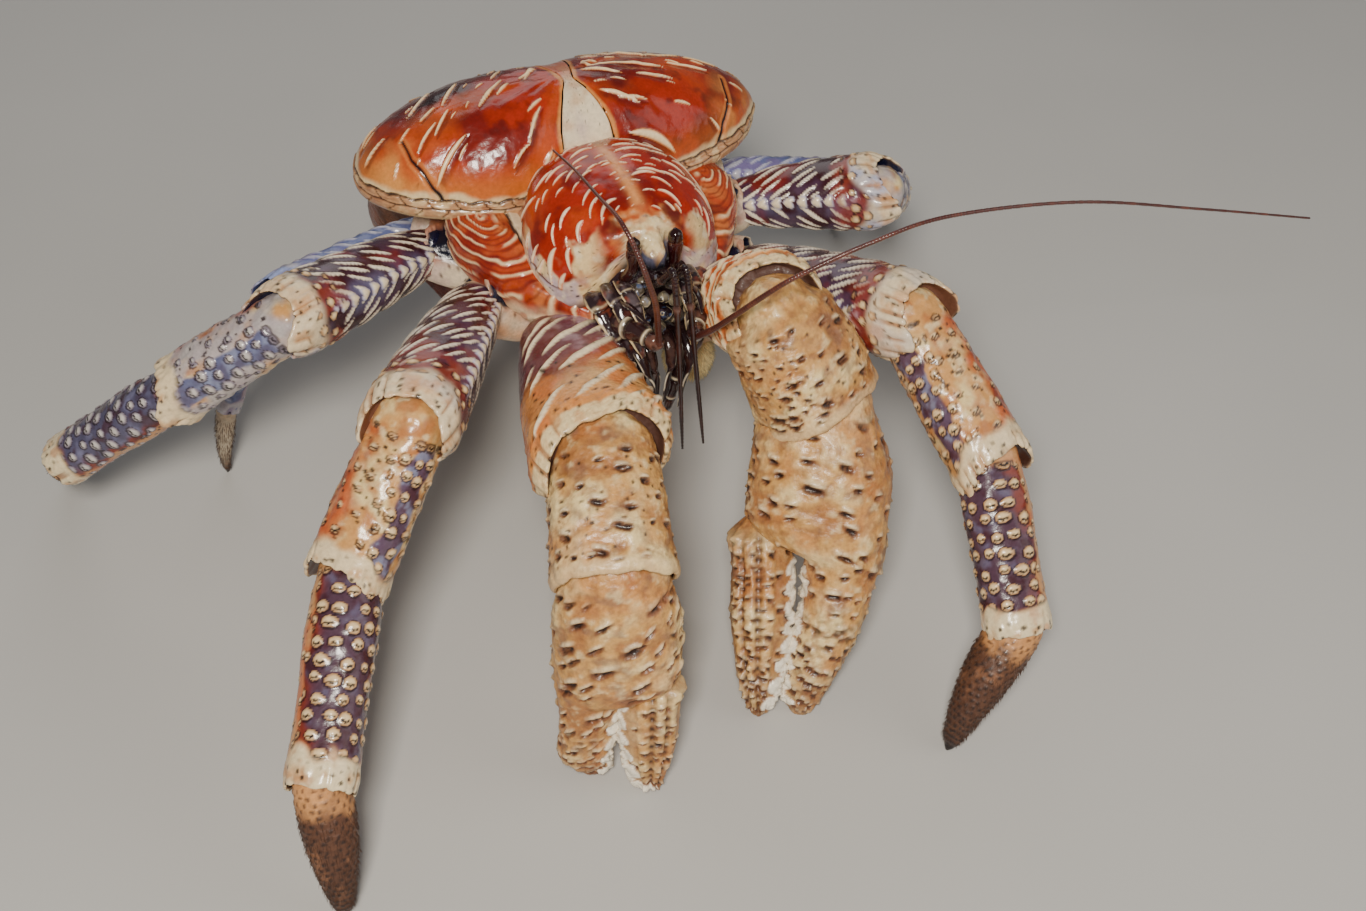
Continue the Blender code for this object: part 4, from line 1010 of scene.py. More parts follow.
def paint_leg_carpus(sheet, keel, blue):
    """Tan shell with a red streak above and a dark band of knobs in front."""
    toward = np.sign(90 - keel)
    p = sheet.points
    sheet.paint((214, 156, 92))
    sheet.mottle((242, 212, 150), 0.009, 3, -0.1, 0.4)
    sheet.mottle((178, 104, 58), 0.006, 33, 0.0, 0.45, 0.7)
    sheet.mottle((250, 230, 180), 0.0035, 43, 0.1, 0.5, 0.6)
    sheet.mottle((182, 178, 184), 0.01, 14, -0.5, 0.2, smooth(0.3, 0.8, blue) * 0.85)
    ends = sheet.mark + 0.05 * noise(p, 0.006, 12)
    body = smooth(0.04, 0.14, sheet.mark) * fade(0.84, 0.92, ends)
    band = sheet.around_from(keel - toward * 4) + 0.0026 * noise(p, 0.009, 4) + 0.001 * noise(p, 0.003, 5)
    dark = fade(0.0046, 0.0062, np.abs(band))
    top = sheet.around_from(90 + toward * 40) + 0.005 * noise(p, 0.009, 5)
    red = fade(0.004, 0.0095, np.abs(top))
    sheet.mottle((198, 84, 40), 0.01, 6, -0.6, 0.0, red * body * (1 - 0.6 * blue))
    sheet.mottle((120, 32, 26), 0.006, 16, 0.0, 0.35, red * body * 0.8 * (1 - 0.4 * blue))
    sheet.paint(blend((92, 52, 62), (104, 112, 150), blue), dark * body)
    sheet.mottle((70, 26, 34), 0.006, 7, -0.2, 0.3, dark * body * (0.8 - 0.5 * blue))
    sheet.mottle((150, 158, 190), 0.005, 17, share=dark * body * 0.6)
    near = fade(0.009, 0.0115, np.abs(band))
    sheet.rise(0.001 * rough_noise(p, 0.006, 2))
    cool = 0.8 * smooth(0.3, 0.8, blue)
    add_tubercles(sheet, 0.0072, 0.0064, 0.0024, near * body, 12, cool=cool)
    add_tubercles(sheet, 0.0084, 0.0086, 0.0017, (1 - near) * body * 0.8, 42, rise=0.0005, cool=cool)
    add_specks(sheet, 0.0046, 0.0007, body * (1 - near), 23)
    sheet.paint((240, 216, 174), smooth(0.86, 0.93, ends))
    finish_rim(sheet, 0.0052)
    joint_skin(sheet, (70, 42, 34))
    sheet.gloss(0.28)


def paint_leg_hand(sheet, keel, blue):
    """Dark face with rows of pored knobs, a rust side and a cream end."""
    toward = np.sign(90 - keel)
    p = sheet.points
    sheet.paint((204, 148, 96))
    sheet.mottle((196, 96, 52), 0.01, 3, share=0.7)
    band = sheet.around_from(90 - toward * 38) + 0.0028 * noise(p, 0.008, 4) + 0.001 * noise(p, 0.003, 5)
    away = np.abs(band) / (sheet.girth * 0.22)
    face = fade(0.92, 1.06, away)
    ends = sheet.mark + 0.05 * noise(p, 0.006, 9)
    body = smooth(0.02, 0.08, sheet.mark) * fade(0.84, 0.9, ends)
    sheet.paint((128, 50, 36), face * body)
    middle = fade(0.6, 0.9, away + 0.3 * noise(p, 0.008, 6))
    sheet.paint(blend((82, 42, 50), (84, 84, 112), blue), face * body * middle)
    sheet.mottle((120, 118, 150), 0.006, 8, 0.0, 0.5, face * body * middle * (0.3 + 0.6 * blue))
    sheet.mottle((64, 22, 28), 0.005, 28, share=face * body * 0.75)
    sheet.rise(0.0005 * rough_noise(p, 0.006, 2))
    cool = 0.8 * smooth(0.3, 0.8, blue)
    add_tubercles(sheet, 0.0068, 0.0066, 0.0025, face * body, 15, cool=cool)
    add_tubercles(sheet, 0.008, 0.008, 0.0016, (1 - face) * body, 18, rise=0.0004, cool=cool)
    add_specks(sheet, 0.0038, 0.0006, body * (1 - face), 23)
    end = smooth(0.86, 0.92, ends)
    sheet.paint((242, 222, 180), end)
    sheet.mottle((190, 120, 76), 0.005, 19, 0.15, 0.5, end * 0.6)
    finish_rim(sheet, 0.0062)
    joint_skin(sheet, (60, 34, 26))
    sheet.gloss(0.26)


def paint_leg_finger(sheet):
    """Brown pointed end, dotted all over and pale only at its root."""
    p = sheet.points
    sheet.paint((92, 58, 40))
    sheet.mottle((132, 88, 60), 0.006, 3)
    sheet.paint((58, 34, 26), smooth(0.45, 0.95, sheet.mark) * 0.7)
    ds, dt = sheet.marks(0.0026, 0.0026, 8, jitter=0.4)[:2]
    spike = oval_bump(ds, dt, 0.001, 0.0009)
    body = smooth(-0.04, 0.04, sheet.mark)
    tip = smooth(0.9, 0.97, sheet.mark)
    sheet.rise(spike * body * (1 - tip) * 0.0005)
    sheet.paint((36, 20, 16), smooth(0.3, 0.8, spike) * body * 0.9)
    root = fade(0.02, 0.22, sheet.mark + 0.1 * noise(p, 0.004, 2))
    sheet.paint((212, 150, 92), root * (1 - 0.8 * smooth(0.3, 0.8, spike)))
    sheet.paint(BLACKISH * 0.8, tip)
    sheet.gloss(0.5)
    sheet.gloss(0.25, tip)


def paint_claw_shell(sheet, seed, warm):
    """Ochre shell of a claw, with painted highlights in cream on its swellings and painted shade in brown in
    its hollows.
    """
    p = sheet.points
    broad, fine = rough_noise(p, 0.013, seed), rough_noise(p, 0.0032, seed + 4)
    sheet.paint((212, 160, 92))
    # painted highlight in cream on the broad swellings, painted shade in brown in the broad hollows
    sheet.paint((242, 212, 150), smooth(-0.05, 0.4, broad))
    sheet.paint((164, 100, 54), smooth(-0.05, -0.45, broad) * 0.75)
    sheet.mottle((204, 116, 60), 0.016, seed + 1, 0.0, 0.35, warm)
    sheet.mottle((122, 88, 76), 0.006, seed + 2, 0.15, 0.5, 0.6)
    # painted shade in brown in the fine hollows, painted highlight in cream on the fine swellings
    sheet.paint((134, 82, 48), smooth(0.05, 0.5, fine) * 0.5)
    sheet.paint((250, 226, 172), smooth(0.15, 0.55, -fine) * 0.5)
    sheet.rise(0.0015 * broad - 0.0006 * fine)


def paint_claw_merus(sheet, keel, name):
    """Orange shell with long pale ridges that slant across it to a pale edge."""
    p = sheet.points
    sheet.paint((214, 138, 72))
    sheet.mottle((236, 192, 126), 0.01, 2, -0.1, 0.35)
    gap = sheet.gap(keel)
    ends = sheet.mark + 0.1 * noise(p, 0.013, 5)
    sheet.paint((186, 66, 30), fade(0.3, 0.6, ends - 0.4 * gap) * 0.85)
    upper = fade(0.14, 0.42, ends - 0.6 * gap)
    sheet.paint((104, 70, 90), upper * 0.95)
    sheet.mottle((190, 166, 178), 0.006, 8, -0.1, 0.3, upper * 0.85)
    sheet.paint((96, 28, 28), smooth(0.22, 0.34, gap) * fade(0.6, 0.9, ends) * 0.85)
    sheet.paint((228, 152, 82), smooth(0.6, 0.85, ends) * 0.75)
    sheet.mottle((210, 114, 54), 0.009, 28, -0.1, 0.25, smooth(0.5, 0.7, ends) * 0.75)
    body = between(sheet.mark, 0.02, 0.1, 0.985, 1.0)
    add_ridges(sheet, keel, 0.75, 0.008, 0.03, (248, 228, 190), body * smooth(0.47, 0.4, gap), 14,
               0.0014, 0.0012)
    if name == "claw_left":
        wave = ripple(sheet.along + 0.00162 * noise(p, 0.012, 41), 0.0054)
        above = smooth(0.34, 0.22, sheet.gap(105)) * between(sheet.mark, 0.35, 0.5, 0.95, 0.985)
        sheet.paint((198, 92, 42), above * fade(0.35, 0.75, wave))
        sheet.paint((246, 222, 176), above * smooth(0.55, 0.85, wave))
        sheet.rise(above * smooth(0.4, 0.9, wave) * 0.0009)
    rim = smooth(0.978, 0.998, sheet.mark + 0.02 * noise(p, 0.004, 6))
    sheet.paint((240, 212, 160), rim)
    wrinkle = crack_lines(sheet, 0.0035, 0.1, 71) * smooth(0.45, 0.7, sheet.mark)
    sheet.rise(-wrinkle * 0.0003 + 0.0006 * rough_noise(p, 0.008, 33))
    sheet.paint((190, 132, 84), wrinkle * 0.45)
    add_specks(sheet, 0.006, 0.0009, smooth(0.25, 0.6, sheet.mark) * (1 - rim), 44)
    finish_rim(sheet, 0.0075)
    sheet.gloss(0.26)
    joint_skin(sheet, (84, 54, 44), 0.55)


def paint_claw_carpus(sheet, name):
    """Ochre shell with pits, and a dense field of them on the left claw."""
    paint_claw_shell(sheet, 31, 0.3)
    body = between(sheet.mark, 0.0, 0.1, 0.95, 1.0)
    add_pits(sheet, 0.0098, 0.0094, 0.0025, body, 12, 0.72, 0.0007)
    add_specks(sheet, 0.005, 0.0007, body, 23)
    if name == "claw_left":
        rows = body * fade(0.05, 0.12, sheet.gap(165))
        add_pits(sheet, 0.004, 0.0058, 0.0014, rows, 62, 0.95, 0.0006)
    wrinkled(sheet, 0.00022)
    edge = smooth(0.92, 0.99, sheet.mark) * fade(0.2, 0.6, sheet.inside)
    sheet.rise(edge * 0.0005)
    sheet.paint((236, 204, 154), edge * 0.6)
    row = between(sheet.mark, 0.86, 0.9, 0.94, 0.98)
    add_pits(sheet, 0.006, 0.0062, 0.002, row, 52, 0.7, 0.0005)
    sheet.paint((96, 60, 44), smooth(0.1, 0.5, sheet.inside))
    sheet.gloss(0.38)
    joint_skin(sheet, (60, 36, 30), 0.55)


def add_teeth(sheet, bearing, start, end, pitch, height):
    """Rows of rounded white teeth along the biting edge, the largest in its middle row."""
    span = smooth(start - 0.03, start + 0.02, sheet.mark) * fade(end - 0.02, end, sheet.mark)
    for offset, share in ((0.0, 1.0), (TOOTH_ROWS_APART, 0.6), (-TOOTH_ROWS_APART, 0.6)):
        side = sheet.around_from(bearing) - offset + 0.0008 * noise(sheet.points, 0.008, 4)
        walk = sheet.along / pitch + offset * 100 + 0.3 * noise(sheet.points, 0.012, 6)
        row = walk % 1.0 - 0.5
        number = hashed(np.floor(walk), 5 + offset * 1e4)
        size = pitch * (0.42 + 0.14 * number) * (0.6 + 0.4 * share)
        tooth = oval_bump(row * pitch, side, size, pitch * 0.6 * (0.6 + 0.4 * share)) * span
        sheet.rise(tooth * height * share * (0.4 + 0.9 * number))
        sheet.paint((176, 120, 76), smooth(0.0, 0.1, tooth) * 0.8)
        sheet.paint((252, 242, 222), smooth(0.12, 0.45, tooth))
        sheet.gloss(0.2, tooth)


def paint_claw_hand(sheet, name):
    """Pitted palm and fixed finger with its teeth."""
    paint_claw_shell(sheet, 41, 0.3)
    inner = 0 if FINGER_SIDE[name] > 0 else 180
    body = between(sheet.mark, 0.0, 0.06, 0.97, 1.0)
    far = smooth(PALM_SHARE[name] + 0.18, 0.8, sheet.mark)
    tilt, size = (-0.6, 0.0034) if name == "claw_right" else (0.0, 0.0028)
    add_pits(sheet, 0.0086, 0.008, size, body * (1 - far * 0.7), 13, 0.92, 0.001, tilt=tilt)
    edge = smooth(0.13, 0.05, sheet.gap(inner))
    add_pits(sheet, 0.0058, 0.0054, 0.0022, body * edge * (1 - far), 19, 0.75, 0.0006)
    add_pits(sheet, 0.0052, 0.005, 0.0021, body * far, 29, 0.85, 0.0005)
    wrinkled(sheet, 0.00024)
    start = PALM_SHARE[name] + 0.1
    sheet.paint((112, 70, 46), smooth(0.74, 1.0, sheet.mark) * 0.45)
    sheet.gloss(0.38)
    add_teeth(sheet, inner, start, 0.97, 0.0082, 0.0026)


def paint_claw_finger(sheet, name):
    """Movable finger: rows of pits run along raised ridges on its upper side."""
    paint_claw_shell(sheet, 51, 0.25)
    right = FINGER_SIDE[name] > 0
    inner = 180 if right else 0
    body = between(sheet.mark, 0.0, 0.08, 0.95, 1.0)
    ridges = np.zeros(sheet.lift.shape)
    for bearing in (40, 70, 100) if right else (140, 110, 80):
        ridges = np.maximum(ridges, fade(0.015, 0.04, sheet.gap(bearing)))
    sheet.rise(ridges * 0.0012 * body)
    sheet.paint((146, 94, 60), (1 - ridges) * smooth(0.3, 0.2, sheet.gap(70 if right else 110)) * 0.5)
    beads = 0.55 + 0.45 * np.cos(sheet.along / 0.004 * 2 * math.pi)
    for bearing in (55, 85) if right else (125, 95):
        row = fade(0.008, 0.02, sheet.gap(bearing)) * beads * body
        sheet.paint((62, 34, 24), row)
        sheet.rise(-row * 0.0005)
    add_pits(sheet, 0.0042, 0.0048, 0.0019, body * ridges, 13, 0.97, 0.0008)
    add_pits(sheet, 0.0074, 0.0066, 0.0022, body * (1 - ridges), 17, 0.85, 0.0006)
    knob = bell(sheet.mark, 0.06, 0.05) * smooth(0.25, 0.1, sheet.gap(180 - inner))
    sheet.rise(knob * 0.0024)
    sheet.paint((238, 206, 150), knob * 0.6)
    wrinkled(sheet, 0.00016)
    sheet.paint((104, 62, 42), smooth(0.65, 1.0, sheet.mark) * 0.45)
    sheet.gloss(0.38)
    add_teeth(sheet, inner, 0.16, 0.96, 0.0078, 0.0024)


def leg_bristles(sheet, name):
    """Short stiff bristles over the far segment of a leg, which lean toward its tip."""
    way = limb_joints(name)[1][4]
    where = between(sheet.mark, 0.12, 0.24, 0.9, 0.96)
    count = int((FOURTH_LEG_BRISTLES if name.startswith("leg_4") else LEG_BRISTLES) * FINENESS)
    roots, out, spots = rooted(sheet, where, count, 7)
    out = unit(out * 0.7 + way * 1.2 + 0.5 * (np.random.default_rng(5).random(out.shape) - 0.5))
    lengths = 0.0009 + 0.0011 * hashed(np.arange(count), 11)
    add_bristles(f"{name}_bristles", roots, out, spots, lengths, 0.00012, (84, 54, 38))


CLAW_PAINT = {"carpus": paint_claw_carpus, "hand": paint_claw_hand, "finger": paint_claw_finger}
LEG_PAINT = {"merus": paint_leg_merus, "carpus": paint_leg_carpus, "hand": paint_leg_hand}


def build_limb(name):
    """All five segments of a limb with their colours and bristles."""
    claw, fourth, right = name.startswith("claw"), name.startswith("leg_4"), name.endswith("right")
    keel = 22 if right else 158
    fine = 1.0 if claw else 0.45 if fourth else 0.86
    for k, kind in enumerate(SEGMENTS):
        rows, cols = (int(n * fine) for n in (CLAW_GRIDS if claw else LEG_GRIDS)[kind])
        lobes, flare = (), 0.02
        if kind == "merus" and claw:
            lobes = ((180 if right else 0, 38, 0.012 if right else 0.004), (60 if right else 120, 44, -0.006))
        elif kind in ("merus", "carpus") and not claw:
            lobes = LEG_LOBES
        if kind == "merus":
            flare = 0.03
        sheet = segment(name, k, rows, cols, lobes, flare)
        material, slot = SATIN, "claw" if claw else "leg"
        if kind == "base":
            paint_base(sheet, None if claw or fourth else 62 if right else 118)
            slot = "pale_shell"
        elif claw and kind == "merus":
            paint_claw_merus(sheet, -10 if right else 190, name)
        elif claw:
            CLAW_PAINT[kind](sheet, name)
        elif kind == "finger":
            paint_leg_finger(sheet)
            slot = "leg_tip"
        else:
            LEG_PAINT[kind](sheet, keel, BLUENESS[name[:5]])
            material = GLOSSY
        if fourth and kind in ("merus", "carpus", "hand"):
            sheet.paint((116, 138, 200), 0.55 * (1 - sheet.inside))
        if fourth and kind == "finger":
            sheet.paint((204, 190, 166), 0.7 * fade(0.6, 0.95, sheet.mark))
        sheet.settle()
        sheet.build(f"{name}_{kind}", material, slot, [f"{name}_{kind}"])
        if kind == "finger" and not claw:
            leg_bristles(sheet, name)


def by_bearing(outline, centre):
    """Bearings of an outline's points about a centre, in order, and their distances."""
    away = outline - centre
    bearing = np.arctan2(away[:, 1], away[:, 0])
    order = np.argsort(bearing)
    return bearing[order], np.hypot(*away.T)[order]


def dome_outline():
    """Smooth plan of the dome: bearing about its crown against distance."""
    left = np.array(DOME_PLAN)
    plan = np.vstack([left, np.column_stack([-left[-2:0:-1, 0], left[-2:0:-1, 1]])])
    plan = spline(np.vstack([plan, plan[:1]]), 720)[:-1]
    return plan, *by_bearing(plan, DOME_CROWN)


PLAN, PLAN_BEARING, PLAN_REACH = dome_outline()


def dome_share(x, y):
    """How far out a place in plan is, from 0 at the crown to 1 at the rim."""
    dx, dy = x - DOME_CROWN[0], y - DOME_CROWN[1]
    reach = np.interp(np.arctan2(dy, dx), PLAN_BEARING, PLAN_REACH, period=2 * math.pi)
    return np.hypot(dx, dy) / reach


def dome_height(x, y):
    """Height of the shell over a place in plan."""
    share = np.minimum(dome_share(x, y), 1.0)
    fall = (1 - share ** DOME_FALL[0]) ** DOME_FALL[1]
    shoulder = 1.0 - SHOULDER_DROP * np.clip((y - DOME_CROWN[1]) / (DOME_BACK - DOME_CROWN[1]), 0, 1)
    return GROOVE_HEIGHT + DOME_RIM + (DOME_TOP - DOME_RIM) * fall * shoulder + 0.002


def plate_edge(y):
    """Half width of the pale plate."""
    line = np.array(PLATE_LINE)
    return curve(line[:, 0], line[:, 1:], y)[..., 0]


def lobe_plan(side, count):
    """Closed outline of one lobe, from the neck along the rim and back by the plate."""
    inner = plate_edge(PLAN[:, 1]) + GROOVE_WIDTH / 2
    rim = PLAN[side * PLAN[:, 0] > inner]
    rim = rim[np.argsort(np.arctan2(rim[:, 1] - 0.03, side * rim[:, 0]))]
    edge_y = np.linspace(rim[-1, 1], rim[0, 1], 120)[1:-1]
    edge = np.column_stack([side * (plate_edge(edge_y) + GROOVE_WIDTH / 2), edge_y])
    centre = np.array([side * LOBE_CENTRE[0], LOBE_CENTRE[1]])
    angles = np.linspace(math.pi, -math.pi, count, endpoint=False)
    reach = np.interp(angles, *by_bearing(np.vstack([rim, edge]), centre), period=2 * math.pi)
    return centre, centre + np.column_stack([np.cos(angles), np.sin(angles)]) * reach[:, None]


def line_distance(x, y, points):
    """Distance in plan from a bent line."""
    best = np.full(np.shape(x), 1e9)
    for (ax, ay), (bx, by) in zip(points, points[1:]):
        length = (bx - ax) ** 2 + (by - ay) ** 2
        t = np.clip(((x - ax) * (bx - ax) + (y - ay) * (by - ay)) / length, 0, 1)
        best = np.minimum(best, np.hypot(x - ax - t * (bx - ax), y - ay - t * (by - ay)))
    return best


def rim_bricks(sheet, up, x, y, where):
    """Two rows of small plates along the lower rim, with dark seams."""
    step = np.hypot(np.roll(x, -1, 1) - x, np.roll(y, -1, 1) - y)
    p = sheet.points
    phase = (np.cumsum(step, axis=1) / BRICK_LENGTH + 0.2 * noise(p, 0.02, 1)) % 1.0
    scallop = 0.0011 * np.abs(np.sin(phase * math.pi)) - 0.0005
    top_line = up - scallop - 0.0003 * noise(p, 0.004, 5)
    mid_line = up - 0.4 * scallop
    below = smooth(BRICK_TOP + 0.0003, BRICK_TOP - 0.0003, top_line) * where
    sheet.paint((196, 146, 104), below)
    sheet.mottle((226, 190, 142), 0.005, 3, share=below)
    sheet.mottle((150, 92, 66), 0.003, 13, 0.1, 0.5, below * 0.5)
    seam = np.maximum(fade(0.00025, 0.0006, np.abs(top_line - BRICK_TOP)),
                      fade(0.0002, 0.0005, np.abs(mid_line - BRICK_MIDDLE)))
    lower = mid_line < BRICK_MIDDLE
    upper = (top_line < BRICK_TOP) & (mid_line > BRICK_MIDDLE)
    for here, brick in ((lower, phase), (upper, (phase + 0.5) % 1.0)):
        joint = fade(0.0002, 0.0005, np.minimum(brick, 1 - brick) * BRICK_LENGTH)
        seam = np.maximum(seam, joint * here)
    seam = seam * where
    sheet.paint((52, 28, 22), seam * 0.95)
    sheet.rise(below * 0.0006 - seam * 0.0009)


def build_lobe(side, hand):
    """One lobe of the rear shell, with its wall and its closed underside."""
    rows, cols = fine_grid(150, 560)
    centre, outline = lobe_plan(side, cols)
    drop = np.linspace(0, 1, LOBE_WALL_ROWS + 1)[1:, None]
    under = np.array(LOBE_UNDER)[:, None]
    inward = np.maximum(1 - (1 - np.linspace(0.0, 1, rows)) ** 1.7, 0.004)[:, None]
    spread = np.concatenate([inward, 1 + 0.01 * np.sin(drop * math.pi), under])
    x, y = np.moveaxis(centre + (outline - centre) * spread[..., None], 2, 0)
    top_z = dome_height(x[:rows], y[:rows])
    floor = GROOVE_HEIGHT + DOME_RIM - LOBE_FLOOR
    wall_z = top_z[-1] + (floor - top_z[-1]) * drop
    under_z = floor - 0.0015 - 0.01 * (1 - under ** 3) + np.zeros(cols)
    sheet = body_sheet(x, y, np.vstack([top_z, wall_z, under_z]))
    p = sheet.points
    rim_row = rows + LOBE_WALL_ROWS
    above = np.arange(x.shape[0])[:, None] < rim_row
    top = np.zeros(x.shape)
    top[:rows] = 1
    travelled = np.zeros(x.shape)
    travelled[1:] = np.cumsum(np.linalg.norm(np.diff(p, axis=0), axis=2), axis=0)
    up = np.where(above, travelled[rim_row - 1] - travelled, 0)
    outer = smooth(0.97, 0.995, dome_share(*outline.T)) * np.ones(x.shape)
    wander = 0.0006 * noise(np.stack([x * 0, y, x * 0], -1), 0.007, 3) + 0.0003 * noise(p, 0.002, 4)
    to_plate = side * x - plate_edge(y)
    # folds that run out from the plate to the rim
    bearing, out = np.arctan2(y - 0.03, side * x), np.hypot(x, y - 0.03)
    fold = noise(np.stack([bearing * 0.03, out * 0.2, x * 0], -1), 0.01, 12 + side)
    fine_fold = noise(np.stack([bearing * 0.035, out * 0.3, x * 0], -1), 0.0042, 14 + side)
    rumple = rough_noise(np.stack([x, y, x * 0], -1), 0.021, 31 + side)
    # red, golden toward the front edge, near black in the upper outer part
    sheet.paint((172, 42, 14))
    sheet.mottle((196, 72, 22), 0.022, 3, -0.05, 0.5, 0.75)
    sheet.mottle((116, 18, 10), 0.014, 9, -0.05, 0.4, 0.9)
    sheet.mottle((84, 12, 10), 0.007, 19, 0.15, 0.5, 0.6)
    dark = np.maximum(bell(side * x, 0.052, 0.024) * bell(y, 0.04, 0.017),
                      0.8 * bell(side * x, 0.026, 0.013) * bell(y, 0.05, 0.01))
    dark = dark * smooth(-0.45, 0.25, rough_noise(p, 0.013, 4))
    darkest, darker, golden = (0.95, 0.85, 0.7) if side < 0 else (0.7, 0.5, 0.35)
    sheet.paint((64, 10, 12), dark * darkest)
    sheet.paint((26, 6, 10), smooth(0.55, 0.9, dark) * darker)
    sheet.paint((78, 12, 10), smooth(0.1, 0.6, fold) * 0.6 * smooth(0.008, 0.02, up))
    sheet.paint((222, 110, 46), smooth(0.15, 0.7, -fold) * 0.3)
    over = up + 0.0022 * noise(p, 0.01, 8) + 0.001 * noise(p, 0.004, 9)
    sheet.paint((214, 122, 50), smooth(0.026, 0.011, over) * outer * golden)
    corner = bell(side * x, 0.078, 0.013) * bell(y, 0.016, 0.012)
    sheet.paint((228, 160, 84), corner * 0.75 * smooth(-0.5, 0.3, noise(p, 0.007, 18)))
    sheet.paint((242, 216, 164), smooth(0.0112, 0.0082, over) * outer * 0.9)
    sheet.paint((226, 150, 76), smooth(0.0026, 0.0009, to_plate + wander) * 0.85)
    # pale slashes, which lean more on the right lobe, each with a painted shadow beside it
    spread = smooth(0.01, 0.014, up) * smooth(0.003, 0.007, to_plate) * top
    ahead, aside = (0.8, 0.6) if side < 0 else (0.97, -0.25)
    u, v = y * ahead - x * aside, x * ahead + y * aside
    long_ones = slashes(u, v, 0.0115, 0.017, 0.008, 0.00085, 5 + side, 0.72, 0.09)
    short_ones = slashes(u, v, 0.0085, 0.011, 0.0034, 0.00055, 45 + side, 0.36, 0.1)
    both = np.maximum(long_ones, short_ones * 0.9) * spread * smooth(1.0, 0.93, dome_share(x, y))
    slash_shadow = slashes(u + 0.0012, v, 0.0115, 0.017, 0.0088, 0.0026, 5 + side, 0.72, 0.09) * spread
    # painted shadow: dark red beside each raised slash
    sheet.paint((70, 10, 10), slash_shadow * 0.5)
    sheet.paint((236, 150, 84), smooth(0.0, 0.35, both))
    sheet.paint((255, 226, 178), smooth(0.25, 0.8, both))
    sheet.rise(both * 0.0008 - slash_shadow * 0.0003)
    sheet.rise(top * (0.001 * rumple + 0.001 * fold + 0.0005 * fine_fold) * smooth(0.0, 0.012, to_plate))
    sheet.rise(top * 0.00025 * rough_noise(p, 0.004, 51))
    gap = line_distance(side * x, y + 0.0012 * noise(p, 0.006, 6), LOBE_GROOVE)
    sheet.paint((30, 8, 10), fade(0.00025, 0.0007, gap) * top)
    sheet.paint((226, 140, 70), fade(0.0003, 0.0008, np.abs(gap - 0.0012)) * top * 0.5)
    sheet.rise(-fade(0.0002, 0.0012, gap) * 0.0008 * top)
    rim_bricks(sheet, up, x, y, outer * above)
    # painted shade: near black on the inner wall and the underside
    sheet.paint(BLACKISH, (1 - outer) * (1 - top))
    sheet.gloss(0.26)
    sheet.build(f"carapace_{hand}", GLOSSY, "shell", [f"carapace_{hand}"])


def build_plate():
    """Pale plate on the midline, wide at the neck and narrow behind."""
    rows, cols = fine_grid(200, 80)
    y = np.linspace(*PLATE_SPAN, rows)[:, None] * np.ones(cols)
    x = (plate_edge(y) - GROOVE_WIDTH / 2) * np.linspace(1, -1, cols)
    z = dome_height(x, y)
    z[0] = np.minimum(z[0], z[1])
    low = z.min(axis=1, keepdims=True) - PLATE_THICKNESS + 0 * x
    # the underside has fewer columns
    x, y, z = (np.hstack([a, b[:, ::-1][:, ::8]])[::-1] for a, b in ((x, x), (y, y), (z, low)))
    sheet = body_sheet(x, y, z)
    top = (np.arange(x.shape[1]) < cols) * np.ones(x.shape)
    edge = np.abs(x) / (plate_edge(y) + 1e-9)
    sheet.paint(CREAM)
    sheet.mottle(GREY_PINK * 0.95, 0.014, 3, 0.0, 0.5, 0.7)
    sheet.paint((188, 66, 24), smooth(0.022, 0.03, y) * 0.85)
    sheet.mottle((206, 150, 100), 0.01, 7, 0.15, 0.5, 0.5)
    sheet.paint(OCHRE, smooth(0.86, 1.0, edge) * 0.5)
    add_specks(sheet, 0.004, 0.0004, top, 8)
    # painted shade: near black on the underside
    sheet.paint(BLACKISH, 1 - top)
    sheet.rise(top * 0.0005 * rough_noise(sheet.points, 0.01, 5))
    sheet.gloss(0.24)
    sheet.build("cardiac_plate", GLOSSY, "pale_plate", ["cardiac_plate"])


